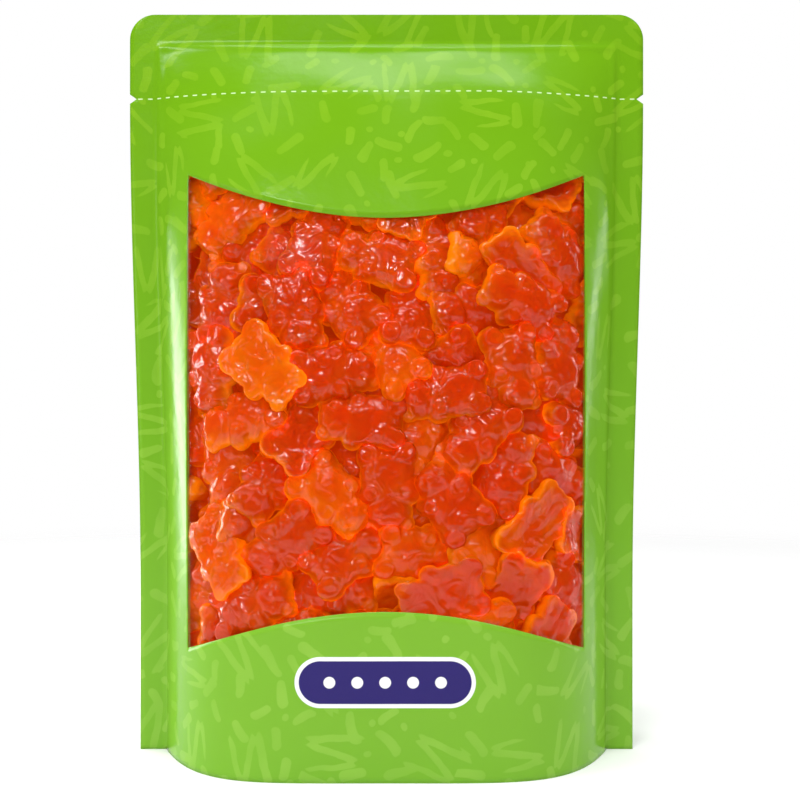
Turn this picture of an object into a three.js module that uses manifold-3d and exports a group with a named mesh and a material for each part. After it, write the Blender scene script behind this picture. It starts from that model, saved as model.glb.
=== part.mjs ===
/**
 * A stand-up pouch of gummy bears.
 *
 * Three webs of printed film are heat-sealed into a bag: a front with a large shaped window, a back, and a
 * gusset that folds up between them at the base. A pane of clear film closes the window, and behind it lies
 * the heap of gummy bears that fills the bag.
 *
 * Millimetres, +Z up. The window faces -Y. The origin is the middle of the footprint, on the ground.
 */
import * as THREE from "three";
import { mergeVertices } from "three/addons/utils/BufferGeometryUtils.js";
import Module from "manifold-3d";

const wasm = await Module();
wasm.setup();

// ---------------------------------------------------------------------------------------- driving sizes

const POUCH = {
  height: 186,
  topHalfWidth: 65,
  baseHalfWidth: 62.3,
  narrowsFrom: 165, // the flat top pulls in to the filled base between these heights
  narrowsTo: 40,
  sideSeal: 6.6,
  topSeal: 7.4,
  cornerRadius: 6.4,
  bellyDepth: 29, // from the middle plane to the front
  shoulder: 3.8, // how late the belly falls away towards the top seal
  baseTuck: 0.06, // share by which the base is drawn in under the belly
  tuckHeight: 36,
  baseSquareness: 5.4, // exponent of the cross-section: 2 is a lens, 6 nearly a box
  topSquareness: 3.6,
};

const FILM = { thickness: 0.7, gap: 0.3 };

const NOTCH = { height: 164.6, depth: 1.7, halfOpening: 1.2 };

const WINDOW = {
  topHalfWidth: 48.8,
  baseHalfWidth: 47.5,
  topCorner: 143.8,
  topSag: 12.2, // the top edge sags by this in the middle
  baseCorner: 29,
  baseRise: 10.8, // and the bottom edge rises by this
  edgeSegments: 12,
};

const GUSSET = {
  middleHeight: 4.5,
  endHeight: 24,
  rise: 4, // exponent of the rise towards the side seals
  foldHeight: 1.4,
  foldHalfWidth: 5,
};

const HEAP = {
  fillHeight: 162,
  clearance: 0.3, // between the sweets and the film
  layerDepth: 3.4, // how far the core lies back behind the window
  layerMargin: 5, // how far that recess runs on behind the print
  overhang: 3.5, // a bear's middle may lie this far behind the print
  rowPitch: 14.4,
  columnPitch: 16,
  jitter: 1,
  depths: 2, // bears lie at this many depths, so that they overlap
  depthStep: 1.4,
  tilt: 0.06, // radians
  flattened: 0.35, // the share by which the film flattens a bear's corners and doesn't push the bear back
  bellyOutShare: 0.62,
  seed: 20260,
};

// One bear, lying on its flat back: X across, Y from the feet to the ears, Z up from the middle.
const BEAR = {
  thickness: 9.4,
  headTop: 9.2,
  crotch: -8.2,
  ear: { x: 3.9, y: 8.3, radius: 2.4, from: 125, to: -45 },
  arm: { x: 5.2, y: 1.2, radius: 2.5, from: 100, to: -70 },
  leg: { x: 4.5, y: -7.4, radius: 3.2, from: 65, to: -105 },
  lobePoints: 3,
  muzzle: { y: 5, reach: 4 },
  belly: { y: -2.4, reach: 5.5 },
  neckDip: 0.9, // how far the front falls back between muzzle and belly
  frontShare: { x: 0.78, y: 0.87 }, // size of the front against the outline
};

const BODY_ROWS = 14;
const BODY_COLUMNS = 18;
const CORNER_ROWS = 4;
const CUT_DEPTH = 60; // longer than anything that is cut
const OVERCUT = 1; // how far a cutting solid runs on past what it cuts
const SETTLE_PASSES = 3;
const SLOPE_STEP = 2;
const MERGE_TOLERANCE = 1e-4;

// ------------------------------------------------------------------------------------------- materials

const finish = (color, roughness, extra = {}) =>
  new THREE.MeshStandardMaterial({ color, roughness, metalness: 0, ...extra });

const MATERIALS = {
  printedFilm: finish(0x7dbf1b, 0.38),
  gussetFilm: finish(0x6fae22, 0.42),
  clearFilm: finish(0xffffff, 0.08, { transparent: true, opacity: 0.15 }),
  gummy: finish(0xd8460f, 0.22),
};

// ----------------------------------------------------------------------------------- shape of the pouch

const sealStart = POUCH.height - POUCH.topSeal;
const { smoothstep, lerp, clamp, degToRad } = THREE.MathUtils;

/** Half the width of the pouch at height z, side seals included, without the rounded top corners. */
function halfWidth(z) {
  const top = smoothstep(z, POUCH.narrowsTo, POUCH.narrowsFrom);
  return lerp(POUCH.baseHalfWidth, POUCH.topHalfWidth, top);
}

/** Half the width at height z along the cut edge, which rounds the two top corners. */
function edgeHalfWidth(z) {
  const intoCorner = Math.max(0, z - (POUCH.height - POUCH.cornerRadius));
  const r = POUCH.cornerRadius;
  return halfWidth(z) - (r - Math.sqrt(Math.max(0, r * r - intoCorner * intoCorner)));
}

/** Half the width between the side seals, where the film is free to bulge. */
const freeHalfWidth = (z) => halfWidth(z) - POUCH.sideSeal;

/** How far the film stands out from the middle plane on the centre line. */
function belly(z) {
  const falloff = 1 - (clamp(z / sealStart, 0, 1)) ** POUCH.shoulder;
  const tuck = POUCH.baseTuck * Math.max(0, 1 - z / POUCH.tuckHeight) ** 2;
  return POUCH.bellyDepth * falloff * (1 - tuck);
}

/** How far the film stands out at s, which runs from -1 to 1 between the side seals. */
function bulge(s, z) {
  const squareness = lerp(POUCH.baseSquareness, POUCH.topSquareness, clamp(z / sealStart, 0, 1));
  return belly(z) * (1 - Math.abs(s) ** squareness);
}

// Columns crowd towards the side seals and rows towards the top seal, where the film turns fastest.
const columns = Array.from({ length: BODY_COLUMNS + 1 }, (_, i) =>
  Math.sin((Math.PI / 2) * ((2 * i) / BODY_COLUMNS - 1)),
);
const bodyRows = Array.from(
  { length: BODY_ROWS + 1 },
  (_, i) => sealStart * Math.sin((Math.PI / 2) * (i / BODY_ROWS)),
);
const cornerRows = Array.from({ length: CORNER_ROWS }, (_, i) => {
  const angle = (Math.PI / 2) * ((i + 1) / CORNER_ROWS);
  return POUCH.height - POUCH.cornerRadius * (1 - Math.sin(angle));
});

// ---------------------------------------------------------------------------------- meshes and solids

/** A manifold solid from a closed geometry. */
function solidOf(geometry) {
  const bare = new THREE.BufferGeometry();
  bare.setAttribute("position", geometry.getAttribute("position").clone());
  bare.setIndex(geometry.index ? geometry.index.clone() : null);
  const merged = mergeVertices(bare, MERGE_TOLERANCE);
  const index = merged.index.array;
  const triVerts = [];
  for (let i = 0; i < index.length; i += 3) {
    const [a, b, c] = [index[i], index[i + 1], index[i + 2]];
    if (a !== b && b !== c && c !== a) triVerts.push(a, b, c);
  }
  const vertProperties = merged.getAttribute("position").array;
  return new wasm.Manifold(
    new wasm.Mesh({ numProp: 3, vertProperties, triVerts: new Uint32Array(triVerts) }),
  );
}

/** The largest piece of a solid, without the scraps that a cut can leave. */
function largestPiece(solid) {
  return solid.decompose().reduce((best, piece) => (piece.volume() > best.volume() ? piece : best));
}

/** A named three.js mesh of a solid. */
function meshOf(solid, name, material) {
  const { numVert, numProp, vertProperties, triVerts } = solid.getMesh();
  const position = new Float32Array(numVert * 3);
  for (let i = 0; i < numVert; i++) {
    position.set(vertProperties.subarray(i * numProp, i * numProp + 3), i * 3);
  }
  const geometry = new THREE.BufferGeometry();
  geometry.setAttribute("position", new THREE.BufferAttribute(position, 3));
  geometry.setIndex(new THREE.BufferAttribute(new Uint32Array(triVerts), 1));
  geometry.computeVertexNormals();
  const mesh = new THREE.Mesh(geometry, material);
  mesh.name = name;
  return mesh;
}

/**
 * The solid between two grids of points, [row][column], with walls along all four borders. Seen from outside
 * the outer grid, its columns run to the right and its rows upwards.
 */
function between(outer, inner) {
  const rowCount = outer.length;
  const columnCount = outer[0].length;
  const positions = [...outer.flat(), ...inner.flat()].flatMap((p) => [p.x, p.y, p.z]);
  const index = [];
  const at = (layer, r, c) => layer * rowCount * columnCount + r * columnCount + c;
  const quad = (a, b, c, d) => index.push(a, b, c, a, c, d);
  for (let r = 0; r < rowCount - 1; r++) {
    for (let c = 0; c < columnCount - 1; c++) {
      quad(at(0, r, c), at(0, r, c + 1), at(0, r + 1, c + 1), at(0, r + 1, c));
      quad(at(1, r, c), at(1, r + 1, c), at(1, r + 1, c + 1), at(1, r, c + 1));
    }
  }
  const last = { row: rowCount - 1, column: columnCount - 1 };
  for (let c = 0; c < last.column; c++) {
    quad(at(0, 0, c), at(1, 0, c), at(1, 0, c + 1), at(0, 0, c + 1));
    quad(at(0, last.row, c), at(0, last.row, c + 1), at(1, last.row, c + 1), at(1, last.row, c));
  }
  for (let r = 0; r < last.row; r++) {
    quad(at(0, r, 0), at(0, r + 1, 0), at(1, r + 1, 0), at(1, r, 0));
    quad(at(0, r, last.column), at(1, r, last.column), at(1, r + 1, last.column), at(0, r + 1, last.column));
  }
  const geometry = new THREE.BufferGeometry();
  geometry.setAttribute("position", new THREE.Float32BufferAttribute(positions, 3));
  geometry.setIndex(index);
  return solidOf(geometry);
}

/** A closed space that follows the pouch, drawn in from the side seals and from the film. */
function spaceInside(drawnIn, rows) {
  const grid = (side) =>
    rows.map((z) =>
      columns.map((s) => {
        const x = (freeHalfWidth(z) - FILM.thickness - drawnIn) * s;
        const depth = bulge(s, z) * (1 - (drawnIn - FILM.gap / 2) / belly(z));
        return new THREE.Vector3(x, side * depth, z);
      }),
    );
  return between(grid(-1), grid(1));
}

// ------------------------------------------------------------------------------------------- the webs

/** One web of film from the ground to the top edge: side -1 is the front, 1 the back. */
function web(side) {
  const rows = [...bodyRows, ...cornerRows];
  const surface = (standsOff, drawnIn) =>
    rows.map((z) => {
      const edge = side * standsOff;
      const body = columns.map(
        (s) =>
          new THREE.Vector3(
            (freeHalfWidth(z) - drawnIn) * s,
            side * (standsOff + (z < sealStart ? bulge(s, z) : 0)),
            z,
          ),
      );
      const left = new THREE.Vector3(-edgeHalfWidth(z), edge, z);
      const right = new THREE.Vector3(edgeHalfWidth(z), edge, z);
      return [left, ...body, right];
    });
  const outer = surface(FILM.gap / 2 + FILM.thickness, 0);
  const inner = surface(FILM.gap / 2, FILM.thickness);
  const sheet = side < 0 ? between(outer, inner) : between(inner, outer);
  return sheet.subtract(tearNotches());
}

/** The V that starts the tear at each side seal. */
function tearNotches() {
  const shape = new THREE.Shape();
  shape.moveTo(-NOTCH.depth, 0);
  shape.lineTo(NOTCH.depth, -2 * NOTCH.halfOpening);
  shape.lineTo(NOTCH.depth, 2 * NOTCH.halfOpening);
  shape.closePath();
  const wedge = new THREE.ExtrudeGeometry(shape, { depth: CUT_DEPTH, bevelEnabled: false });
  wedge.rotateX(Math.PI / 2);
  wedge.translate(halfWidth(NOTCH.height), CUT_DEPTH / 2, NOTCH.height);
  const right = solidOf(wedge);
  return right.add(right.mirror([1, 0, 0]));
}

/** The window's outline as a solid that runs from the middle plane out through the front. */
function windowPrism(inset) {
  const top = WINDOW.topHalfWidth - inset;
  const base = WINDOW.baseHalfWidth - inset;
  const high = WINDOW.topCorner - inset;
  const low = WINDOW.baseCorner + inset;
  const shape = new THREE.Shape();
  shape.moveTo(-base, low);
  shape.quadraticCurveTo(0, low + 2 * WINDOW.baseRise, base, low);
  shape.lineTo(top, high);
  shape.quadraticCurveTo(0, high - 2 * WINDOW.topSag, -top, high);
  shape.closePath();
  const prism = new THREE.ExtrudeGeometry(shape, {
    depth: CUT_DEPTH,
    bevelEnabled: false,
    curveSegments: WINDOW.edgeSegments,
  });
  prism.rotateX(Math.PI / 2);
  return solidOf(prism);
}

const frontPanel = () => web(-1).subtract(windowPrism(0));
const windowPane = () => web(-1).intersect(windowPrism(FILM.gap));
const backPanel = () => web(1);

// ----------------------------------------------------------------------------------------- the gusset

/** Height of the gusset's upper side: low in the middle, rising to the side seals, folded along y = 0. */
function gussetHeight(x, y) {
  const outward = clamp(Math.abs(x) / freeHalfWidth(0), 0, 1) ** GUSSET.rise;
  const fold = GUSSET.foldHeight * Math.max(0, 1 - Math.abs(y) / GUSSET.foldHalfWidth) * (1 - outward);
  return lerp(GUSSET.middleHeight, GUSSET.endHeight, outward) + fold;
}

/** Everything below the gusset's upper side, raised by the given amount. */
function belowGusset(raised) {
  const across = columns.map((s) => s * (POUCH.baseHalfWidth + OVERCUT));
  const reach = POUCH.bellyDepth + OVERCUT;
  const along = [-reach, -GUSSET.foldHalfWidth, 0, GUSSET.foldHalfWidth, reach];
  const grid = (height) => along.map((y) => across.map((x) => new THREE.Vector3(x, y, height(x, y))));
  return between(
    grid((x, y) => gussetHeight(x, y) + raised),
    grid(() => -OVERCUT),
  );
}

/** The gusset: a boat-shaped floor with a lip that lines the foot of both panels. */
function bottomGusset() {
  const rows = bodyRows.filter((z) => z < 2 * GUSSET.endHeight);
  const outside = spaceInside(FILM.gap + FILM.gap / 2, rows).intersect(belowGusset(0));
  const hollow = spaceInside(FILM.gap + FILM.thickness, [-OVERCUT, ...rows.slice(1)]);
  return largestPiece(outside.subtract(hollow.intersect(belowGusset(-FILM.thickness))));
}

// ------------------------------------------------------------------------------------------- the heap

/** A repeatable stream of numbers from 0 to 1 (Park and Miller's generator). */
function randomStream(seed) {
  let state = seed;
  return () => {
    state = (state * 16807) % 2147483647;
    return state / 2147483647;
  };
}

/** How far a point lies inside the window's outline, negative outside it. */
function insideWindow(x, z) {
  const side = lerp(
    WINDOW.baseHalfWidth,
    WINDOW.topHalfWidth,
    (z - WINDOW.baseCorner) / (WINDOW.topCorner - WINDOW.baseCorner),
  );
  const arch = 1 - (x / side) ** 2;
  const low = WINDOW.baseCorner + WINDOW.baseRise * arch;
  const high = WINDOW.topCorner - WINDOW.topSag * arch;
  return Math.min(side - Math.abs(x), z - low, high - z);
}

/** How far the inner face of the front film stands out from the middle plane. */
const filmReach = (x, z) => bulge(clamp(x / freeHalfWidth(z), -1, 1), z);

/** Half of a bear's outline, from the top of the head round the right ear, arm and leg to the crotch. */
function halfOutline() {
  const lobe = ({ x, y, radius, from, to }) =>
    Array.from({ length: BEAR.lobePoints }, (_, i) => {
      const angle = degToRad(lerp(from, to, i / (BEAR.lobePoints - 1)));
      return new THREE.Vector2(x + radius * Math.cos(angle), y + radius * Math.sin(angle));
    });
  const limbs = [BEAR.ear, BEAR.arm, BEAR.leg].flatMap(lobe);
  return [new THREE.Vector2(0, BEAR.headTop), ...limbs, new THREE.Vector2(0, BEAR.crotch)];
}

/** One bear: a flat back in full outline, and a smaller front that rises to muzzle and belly. */
function bear() {
  const half = halfOutline();
  const left = half.slice(1, -1).map((p) => new THREE.Vector2(-p.x, p.y));
  const outline = [half[0], ...left, half.at(-1), ...half.slice(1, -1).reverse()];
  const rise = (y, { y: centre, reach }) => Math.max(0, 1 - ((y - centre) / reach) ** 2);
  const front = (y) => {
    const highest = Math.max(rise(y, BEAR.muzzle), rise(y, BEAR.belly));
    return BEAR.thickness / 2 - BEAR.neckDip * (1 - highest);
  };
  const ring = (scaleX, scaleY, height) =>
    outline.map((p) => new THREE.Vector3(p.x * scaleX, p.y * scaleY, height(p.y * scaleY)));
  const rings = [
    ring(1, 1, () => -BEAR.thickness / 2),
    ring(BEAR.frontShare.x, BEAR.frontShare.y, front),
  ];
  const count = outline.length;
  const index = [];
  for (let r = 0; r < rings.length - 1; r++) {
    for (let i = 0; i < count; i++) {
      const [a, b] = [r * count + i, r * count + ((i + 1) % count)];
      index.push(a, b, b + count, a, b + count, a + count);
    }
  }
  const top = (rings.length - 1) * count;
  for (const [a, b, c] of THREE.ShapeUtils.triangulateShape(outline, [])) {
    index.push(a, c, b, top + a, top + b, top + c);
  }
  const geometry = new THREE.BufferGeometry().setFromPoints(rings.flat());
  geometry.setIndex(index);
  return geometry;
}

/** The matrix that lays one bear behind the film at x and z, pushed back by the corners that would pass it. */
function bearPlace(corners, x, z, { roll, tilt, tiltAxis, bellyOut, sunk }) {
  const slopeX = (filmReach(x + SLOPE_STEP, z) - filmReach(x - SLOPE_STEP, z)) / (2 * SLOPE_STEP);
  const slopeZ = (filmReach(x, z + SLOPE_STEP) - filmReach(x, z - SLOPE_STEP)) / (2 * SLOPE_STEP);
  const outward = new THREE.Vector3(-slopeX, -1, -slopeZ).normalize();
  const facing = new THREE.Quaternion().setFromUnitVectors(new THREE.Vector3(0, 0, 1), outward);
  const turned = new THREE.Quaternion().setFromAxisAngle(new THREE.Vector3(0, 0, 1), roll);
  const axis = new THREE.Vector3(Math.cos(tiltAxis), Math.sin(tiltAxis), 0);
  const tipped = new THREE.Quaternion().setFromAxisAngle(axis, tilt + (bellyOut ? 0 : Math.PI));
  const rotation = facing.multiply(tipped).multiply(turned);
  const flat = new THREE.Vector3(x, -filmReach(x, z), z);
  flat.addScaledVector(outward, -HEAP.clearance - BEAR.thickness / 2);
  const position = flat.clone();
  for (let pass = 0; pass < SETTLE_PASSES; pass++) {
    const overshoot = corners.map((corner) => {
      const p = corner.clone().applyQuaternion(rotation).add(position);
      return HEAP.clearance - filmReach(p.x, p.z) - p.y;
    });
    position.addScaledVector(outward, -Math.max(0, ...overshoot));
  }
  position.lerp(flat, HEAP.flattened).addScaledVector(outward, -sunk);
  return new THREE.Matrix4().compose(position, rotation, new THREE.Vector3(1, 1, 1));
}

/** Where each bear of the top layer lies: a staggered grid, shaken, at a few depths. */
function bearPlaces(corners) {
  const random = randomStream(HEAP.seed);
  const spread = (amount) => (2 * random() - 1) * amount;
  const places = [];
  const rowCount = Math.ceil((WINDOW.topCorner - WINDOW.baseCorner) / HEAP.rowPitch) + 1;
  const columnCount = Math.ceil(WINDOW.topHalfWidth / HEAP.columnPitch);
  for (let row = 0; row < rowCount; row++) {
    for (let column = -columnCount; column <= columnCount; column++) {
      const x = (column + (row % 2) / 2) * HEAP.columnPitch + spread(HEAP.jitter);
      const z = WINDOW.baseCorner + row * HEAP.rowPitch + spread(HEAP.jitter);
      const pose = {
        roll: random() * 2 * Math.PI,
        tilt: spread(HEAP.tilt),
        tiltAxis: random() * Math.PI,
        bellyOut: random() < HEAP.bellyOutShare,
        sunk: ((column + columnCount + 2 * row) % HEAP.depths) * HEAP.depthStep,
      };
      if (insideWindow(x, z) > -HEAP.overhang) places.push(bearPlace(corners, x, z, pose));
    }
  }
  return places;
}

/** The heap: a plain core that fills the bag, with the bears that show fused on behind the window. */
function gummyBears() {
  const rows = [...bodyRows.filter((z) => z < HEAP.fillHeight), HEAP.fillHeight];
  const filled = spaceInside(HEAP.clearance, rows);
  const recess = windowPrism(-HEAP.layerMargin).subtract(spaceInside(HEAP.layerDepth, rows));
  const geometry = bear();
  const points = geometry.getAttribute("position");
  const corners = Array.from({ length: points.count }, (_, i) =>
    new THREE.Vector3().fromBufferAttribute(points, i),
  );
  const one = solidOf(geometry);
  const bears = bearPlaces(corners).map((place) => one.transform(place.elements));
  const heap = wasm.Manifold.union([filled.subtract(recess), ...bears]);
  return largestPiece(heap.intersect(filled).subtract(belowGusset(FILM.gap)));
}

// --------------------------------------------------------------------------------------- the assembly

const pouch = new THREE.Group();
pouch.add(
  meshOf(frontPanel(), "front_panel", MATERIALS.printedFilm),
  meshOf(backPanel(), "back_panel", MATERIALS.printedFilm),
  meshOf(bottomGusset(), "bottom_gusset", MATERIALS.gussetFilm),
  meshOf(windowPane(), "window_pane", MATERIALS.clearFilm),
  meshOf(gummyBears(), "gummy_bears", MATERIALS.gummy),
);

export default pouch;
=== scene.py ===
"""A stand-up pouch of gummy bears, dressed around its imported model.

The printed webs, the gusset and the clear pane are thin sheets laid over the model's solids. Behind the
pane lie the bears: three are modelled from rounded lumps, copied, and pressed against the film by a small
packing routine, in front of a core that fills the rest of the bag.
"""

from __future__ import annotations

import logging
import math
from dataclasses import dataclass, replace
from enum import Enum

import bpy
import numpy as np
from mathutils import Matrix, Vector
from mathutils.bvhtree import BVHTree

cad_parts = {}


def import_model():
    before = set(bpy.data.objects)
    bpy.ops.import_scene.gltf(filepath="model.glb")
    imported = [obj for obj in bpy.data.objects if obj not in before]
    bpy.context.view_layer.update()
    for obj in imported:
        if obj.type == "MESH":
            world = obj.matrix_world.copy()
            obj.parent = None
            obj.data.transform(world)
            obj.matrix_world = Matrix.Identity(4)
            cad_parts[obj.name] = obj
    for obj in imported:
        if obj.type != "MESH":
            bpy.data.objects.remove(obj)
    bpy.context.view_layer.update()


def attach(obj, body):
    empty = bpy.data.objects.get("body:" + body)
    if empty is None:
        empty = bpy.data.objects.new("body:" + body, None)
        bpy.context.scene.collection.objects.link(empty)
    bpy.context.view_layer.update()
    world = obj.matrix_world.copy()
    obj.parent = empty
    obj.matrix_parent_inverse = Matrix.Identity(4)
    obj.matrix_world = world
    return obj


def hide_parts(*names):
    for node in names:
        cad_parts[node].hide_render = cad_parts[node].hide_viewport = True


LOG = logging.getLogger("pouch")
MM = 0.001
BODY = "root"


def ramp(value: np.ndarray, start: float, run: float) -> np.ndarray:
    """A share that rises from 0 at the start to 1 at the end of the run."""
    return np.clip((value - start) / run, 0, 1)


# ------------------------------------------------------------------------------ shape of the pouch


@dataclass(frozen=True)
class PouchShape:
    """The pouch's form in millimetres: how wide it is and how far its film stands out at each height."""

    height: float = 186.0
    top_half_width: float = 65.0
    base_half_width: float = 62.3
    narrows_from: float = 165.0
    narrows_to: float = 40.0
    side_seal: float = 6.6
    top_seal: float = 7.4
    corner_radius: float = 6.4
    belly_depth: float = 29.85
    shoulder: float = 3.8
    base_tuck: float = 0.06
    tuck_height: float = 36.0
    base_squareness: float = 5.4
    top_squareness: float = 3.6
    notch_height: float = 164.6
    notch_depth: float = 1.7
    notch_half_opening: float = 1.2

    @property
    def seal_start(self) -> float:
        """Height at which the top seal begins."""
        return self.height - self.top_seal

    def half_width(self, z: np.ndarray) -> np.ndarray:
        """Half the width at height z, side seals included.

        Args:
            z: Heights in millimetres.

        Returns:
            Half widths in millimetres, without the rounded top corners.
        """
        t = ramp(z, self.narrows_to, self.narrows_from - self.narrows_to)
        t = t * t * (3 - 2 * t)
        return self.base_half_width + (self.top_half_width - self.base_half_width) * t

    def cut_half_width(self, z: np.ndarray) -> np.ndarray:
        """Half the width along the cut edge, with its rounded top corners and tear notches.

        Args:
            z: Heights in millimetres.

        Returns:
            Half widths in millimetres.
        """
        into = np.clip(z - (self.height - self.corner_radius), 0, self.corner_radius)
        corner = self.corner_radius - np.sqrt(self.corner_radius**2 - into**2)
        away = np.abs(z - self.notch_height) / self.notch_half_opening
        return self.half_width(z) - corner - self.notch_depth * np.clip(1 - away, 0, 1)

    def free_half_width(self, z: np.ndarray) -> np.ndarray:
        """Half the width between the side seals, where the film is free to bulge."""
        return self.half_width(z) - self.side_seal

    def belly(self, z: np.ndarray) -> np.ndarray:
        """How far the film stands out from the middle plane on the centre line.

        Args:
            z: Heights in millimetres.

        Returns:
            Distances from the middle plane in millimetres, zero from the top seal upwards.
        """
        falloff = 1 - np.clip(z / self.seal_start, 0, 1) ** self.shoulder
        tuck = self.base_tuck * np.clip(1 - z / self.tuck_height, 0, None) ** 2
        return self.belly_depth * falloff * (1 - tuck)

    def reach(self, x: np.ndarray, z: np.ndarray) -> np.ndarray:
        """How far the film stands out from the middle plane.

        Args:
            x: Distances from the centre line in millimetres.
            z: Heights in millimetres.

        Returns:
            Distances from the middle plane in millimetres, zero on the seals.
        """
        s = np.clip(np.abs(x) / self.free_half_width(z), 0, 1)
        share = np.clip(z / self.seal_start, 0, 1)
        squareness = self.base_squareness + (self.top_squareness - self.base_squareness) * share
        return self.belly(z) * (1 - s**squareness)

    def slope(self, x: np.ndarray, z: np.ndarray) -> tuple[np.ndarray, np.ndarray]:
        """Slopes of the film's reach, by central differences.

        Args:
            x: Distances from the centre line in millimetres.
            z: Heights in millimetres.

        Returns:
            The slopes along x and along z.
        """
        step = 0.5
        along_x = (self.reach(x + step, z) - self.reach(x - step, z)) / (2 * step)
        along_z = (self.reach(x, z + step) - self.reach(x, z - step)) / (2 * step)
        return along_x, along_z


@dataclass(frozen=True)
class WindowShape:
    """The window's outline in millimetres: straight sides between an arched foot and a sagging top."""

    top_half_width: float = 48.8
    base_half_width: float = 47.5
    top_corner: float = 143.8
    top_sag: float = 12.2
    base_corner: float = 29.0
    base_rise: float = 10.8

    def side(self, z: np.ndarray) -> np.ndarray:
        """Half the window's width at height z, carried on above and below the window."""
        t = ramp(z, self.base_corner, self.top_corner - self.base_corner)
        return self.base_half_width + (self.top_half_width - self.base_half_width) * t

    def low(self, share: np.ndarray) -> np.ndarray:
        """Height of the foot at a share of the half width, level beyond the corners."""
        return self.base_corner + self.base_rise * np.clip(1 - share**2, 0, None)

    def high(self, share: np.ndarray) -> np.ndarray:
        """Height of the top at a share of the half width, level beyond the corners."""
        return self.top_corner - self.top_sag * np.clip(1 - share**2, 0, None)


# ------------------------------------------------------------------------------------ mesh helpers


def deselect_all() -> None:
    """Leaves object mode and clears the selection."""
    if bpy.context.object and bpy.context.object.mode != "OBJECT":
        bpy.ops.object.mode_set(mode="OBJECT")
    bpy.ops.object.select_all(action="DESELECT")


def make_active(obj: bpy.types.Object) -> None:
    """Selects one object alone and makes it the active one.

    Args:
        obj: The object.
    """
    deselect_all()
    obj.select_set(True)
    bpy.context.view_layer.objects.active = obj


def apply_modifier(obj: bpy.types.Object, kind: str, **settings: object) -> None:
    """Adds a modifier, sets it and applies it.

    Args:
        obj: The object to change.
        kind: Blender's name of the modifier type.
        **settings: Values of the modifier's properties.
    """
    make_active(obj)
    modifier = obj.modifiers.new(kind.title(), kind)
    for name, value in settings.items():
        setattr(modifier, name, value)
    bpy.ops.object.modifier_apply(modifier=modifier.name)


def points_of(obj: bpy.types.Object) -> np.ndarray:
    """Reads the object's vertex positions.

    Args:
        obj: The object.

    Returns:
        One row of x, y and z for each vertex.
    """
    co = np.empty(len(obj.data.vertices) * 3)
    obj.data.vertices.foreach_get("co", co)
    return co.reshape(-1, 3)


def move_points(obj: bpy.types.Object, co: np.ndarray) -> None:
    """Sets the object's vertex positions from rows of x, y and z."""
    obj.data.vertices.foreach_set("co", np.ascontiguousarray(co, dtype=float).ravel())
    obj.data.update()


def set_vectors(obj: bpy.types.Object, name: str, values: np.ndarray) -> None:
    """Stores a vector on every vertex under an attribute's name."""
    layer = obj.data.attributes.new(name, "FLOAT_VECTOR", "POINT")
    layer.data.foreach_set("vector", np.ascontiguousarray(values, dtype=float).ravel())


def shade_smooth(obj: bpy.types.Object) -> None:
    """Shades every face of the object smooth."""
    obj.data.polygons.foreach_set("use_smooth", np.ones(len(obj.data.polygons), bool))
    obj.data.update()


def grid_sheet(name: str, points: np.ndarray, places: np.ndarray) -> bpy.types.Object:
    """A sheet of quads through a grid of points, made from Blender's own grid.

    Args:
        name: Name of the new object.
        points: Positions in metres, by row, column and axis.
        places: Places on the film in millimetres, stored with the points, by row, column and axis.

    Returns:
        The new object, at the origin.
    """
    rows, columns = points.shape[:2]
    deselect_all()
    bpy.ops.mesh.primitive_grid_add(
        x_subdivisions=columns - 1, y_subdivisions=rows - 1, size=2, calc_uvs=False
    )
    sheet = bpy.context.object
    sheet.name = sheet.data.name = name
    flat = points_of(sheet)
    column = np.rint((flat[:, 0] + 1) / 2 * (columns - 1)).astype(int)
    row = np.rint((flat[:, 1] + 1) / 2 * (rows - 1)).astype(int)
    move_points(sheet, points[row, column])
    set_vectors(sheet, "film_place", places[row, column])
    return sheet


def thicken(sheet: bpy.types.Object, thickness: float) -> None:
    """Gives a sheet its thickness in millimetres, inwards, and shades it smooth."""
    apply_modifier(sheet, "SOLIDIFY", thickness=thickness * MM, offset=-1, use_even_offset=False)
    shade_smooth(sheet)


def keep_faces(obj: bpy.types.Object, keep: np.ndarray) -> None:
    """Deletes every face that isn't kept, with its loose edges and vertices.

    Args:
        obj: The object to cut down.
        keep: One truth value for each face.
    """
    make_active(obj)
    bpy.ops.object.mode_set(mode="EDIT")
    bpy.ops.mesh.select_mode(type="FACE")
    bpy.ops.mesh.select_all(action="DESELECT")
    bpy.ops.object.mode_set(mode="OBJECT")
    obj.data.polygons.foreach_set("select", ~keep)
    bpy.ops.object.mode_set(mode="EDIT")
    bpy.ops.mesh.delete(type="FACE")
    bpy.ops.object.mode_set(mode="OBJECT")


def face_centres(obj: bpy.types.Object) -> np.ndarray:
    """Reads the middle of every face.

    Args:
        obj: The object.

    Returns:
        One row of x, y and z for each face.
    """
    centres = np.empty(len(obj.data.polygons) * 3)
    obj.data.polygons.foreach_get("center", centres)
    return centres.reshape(-1, 3)


# --------------------------------------------------------------------------------------- materials


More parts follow.
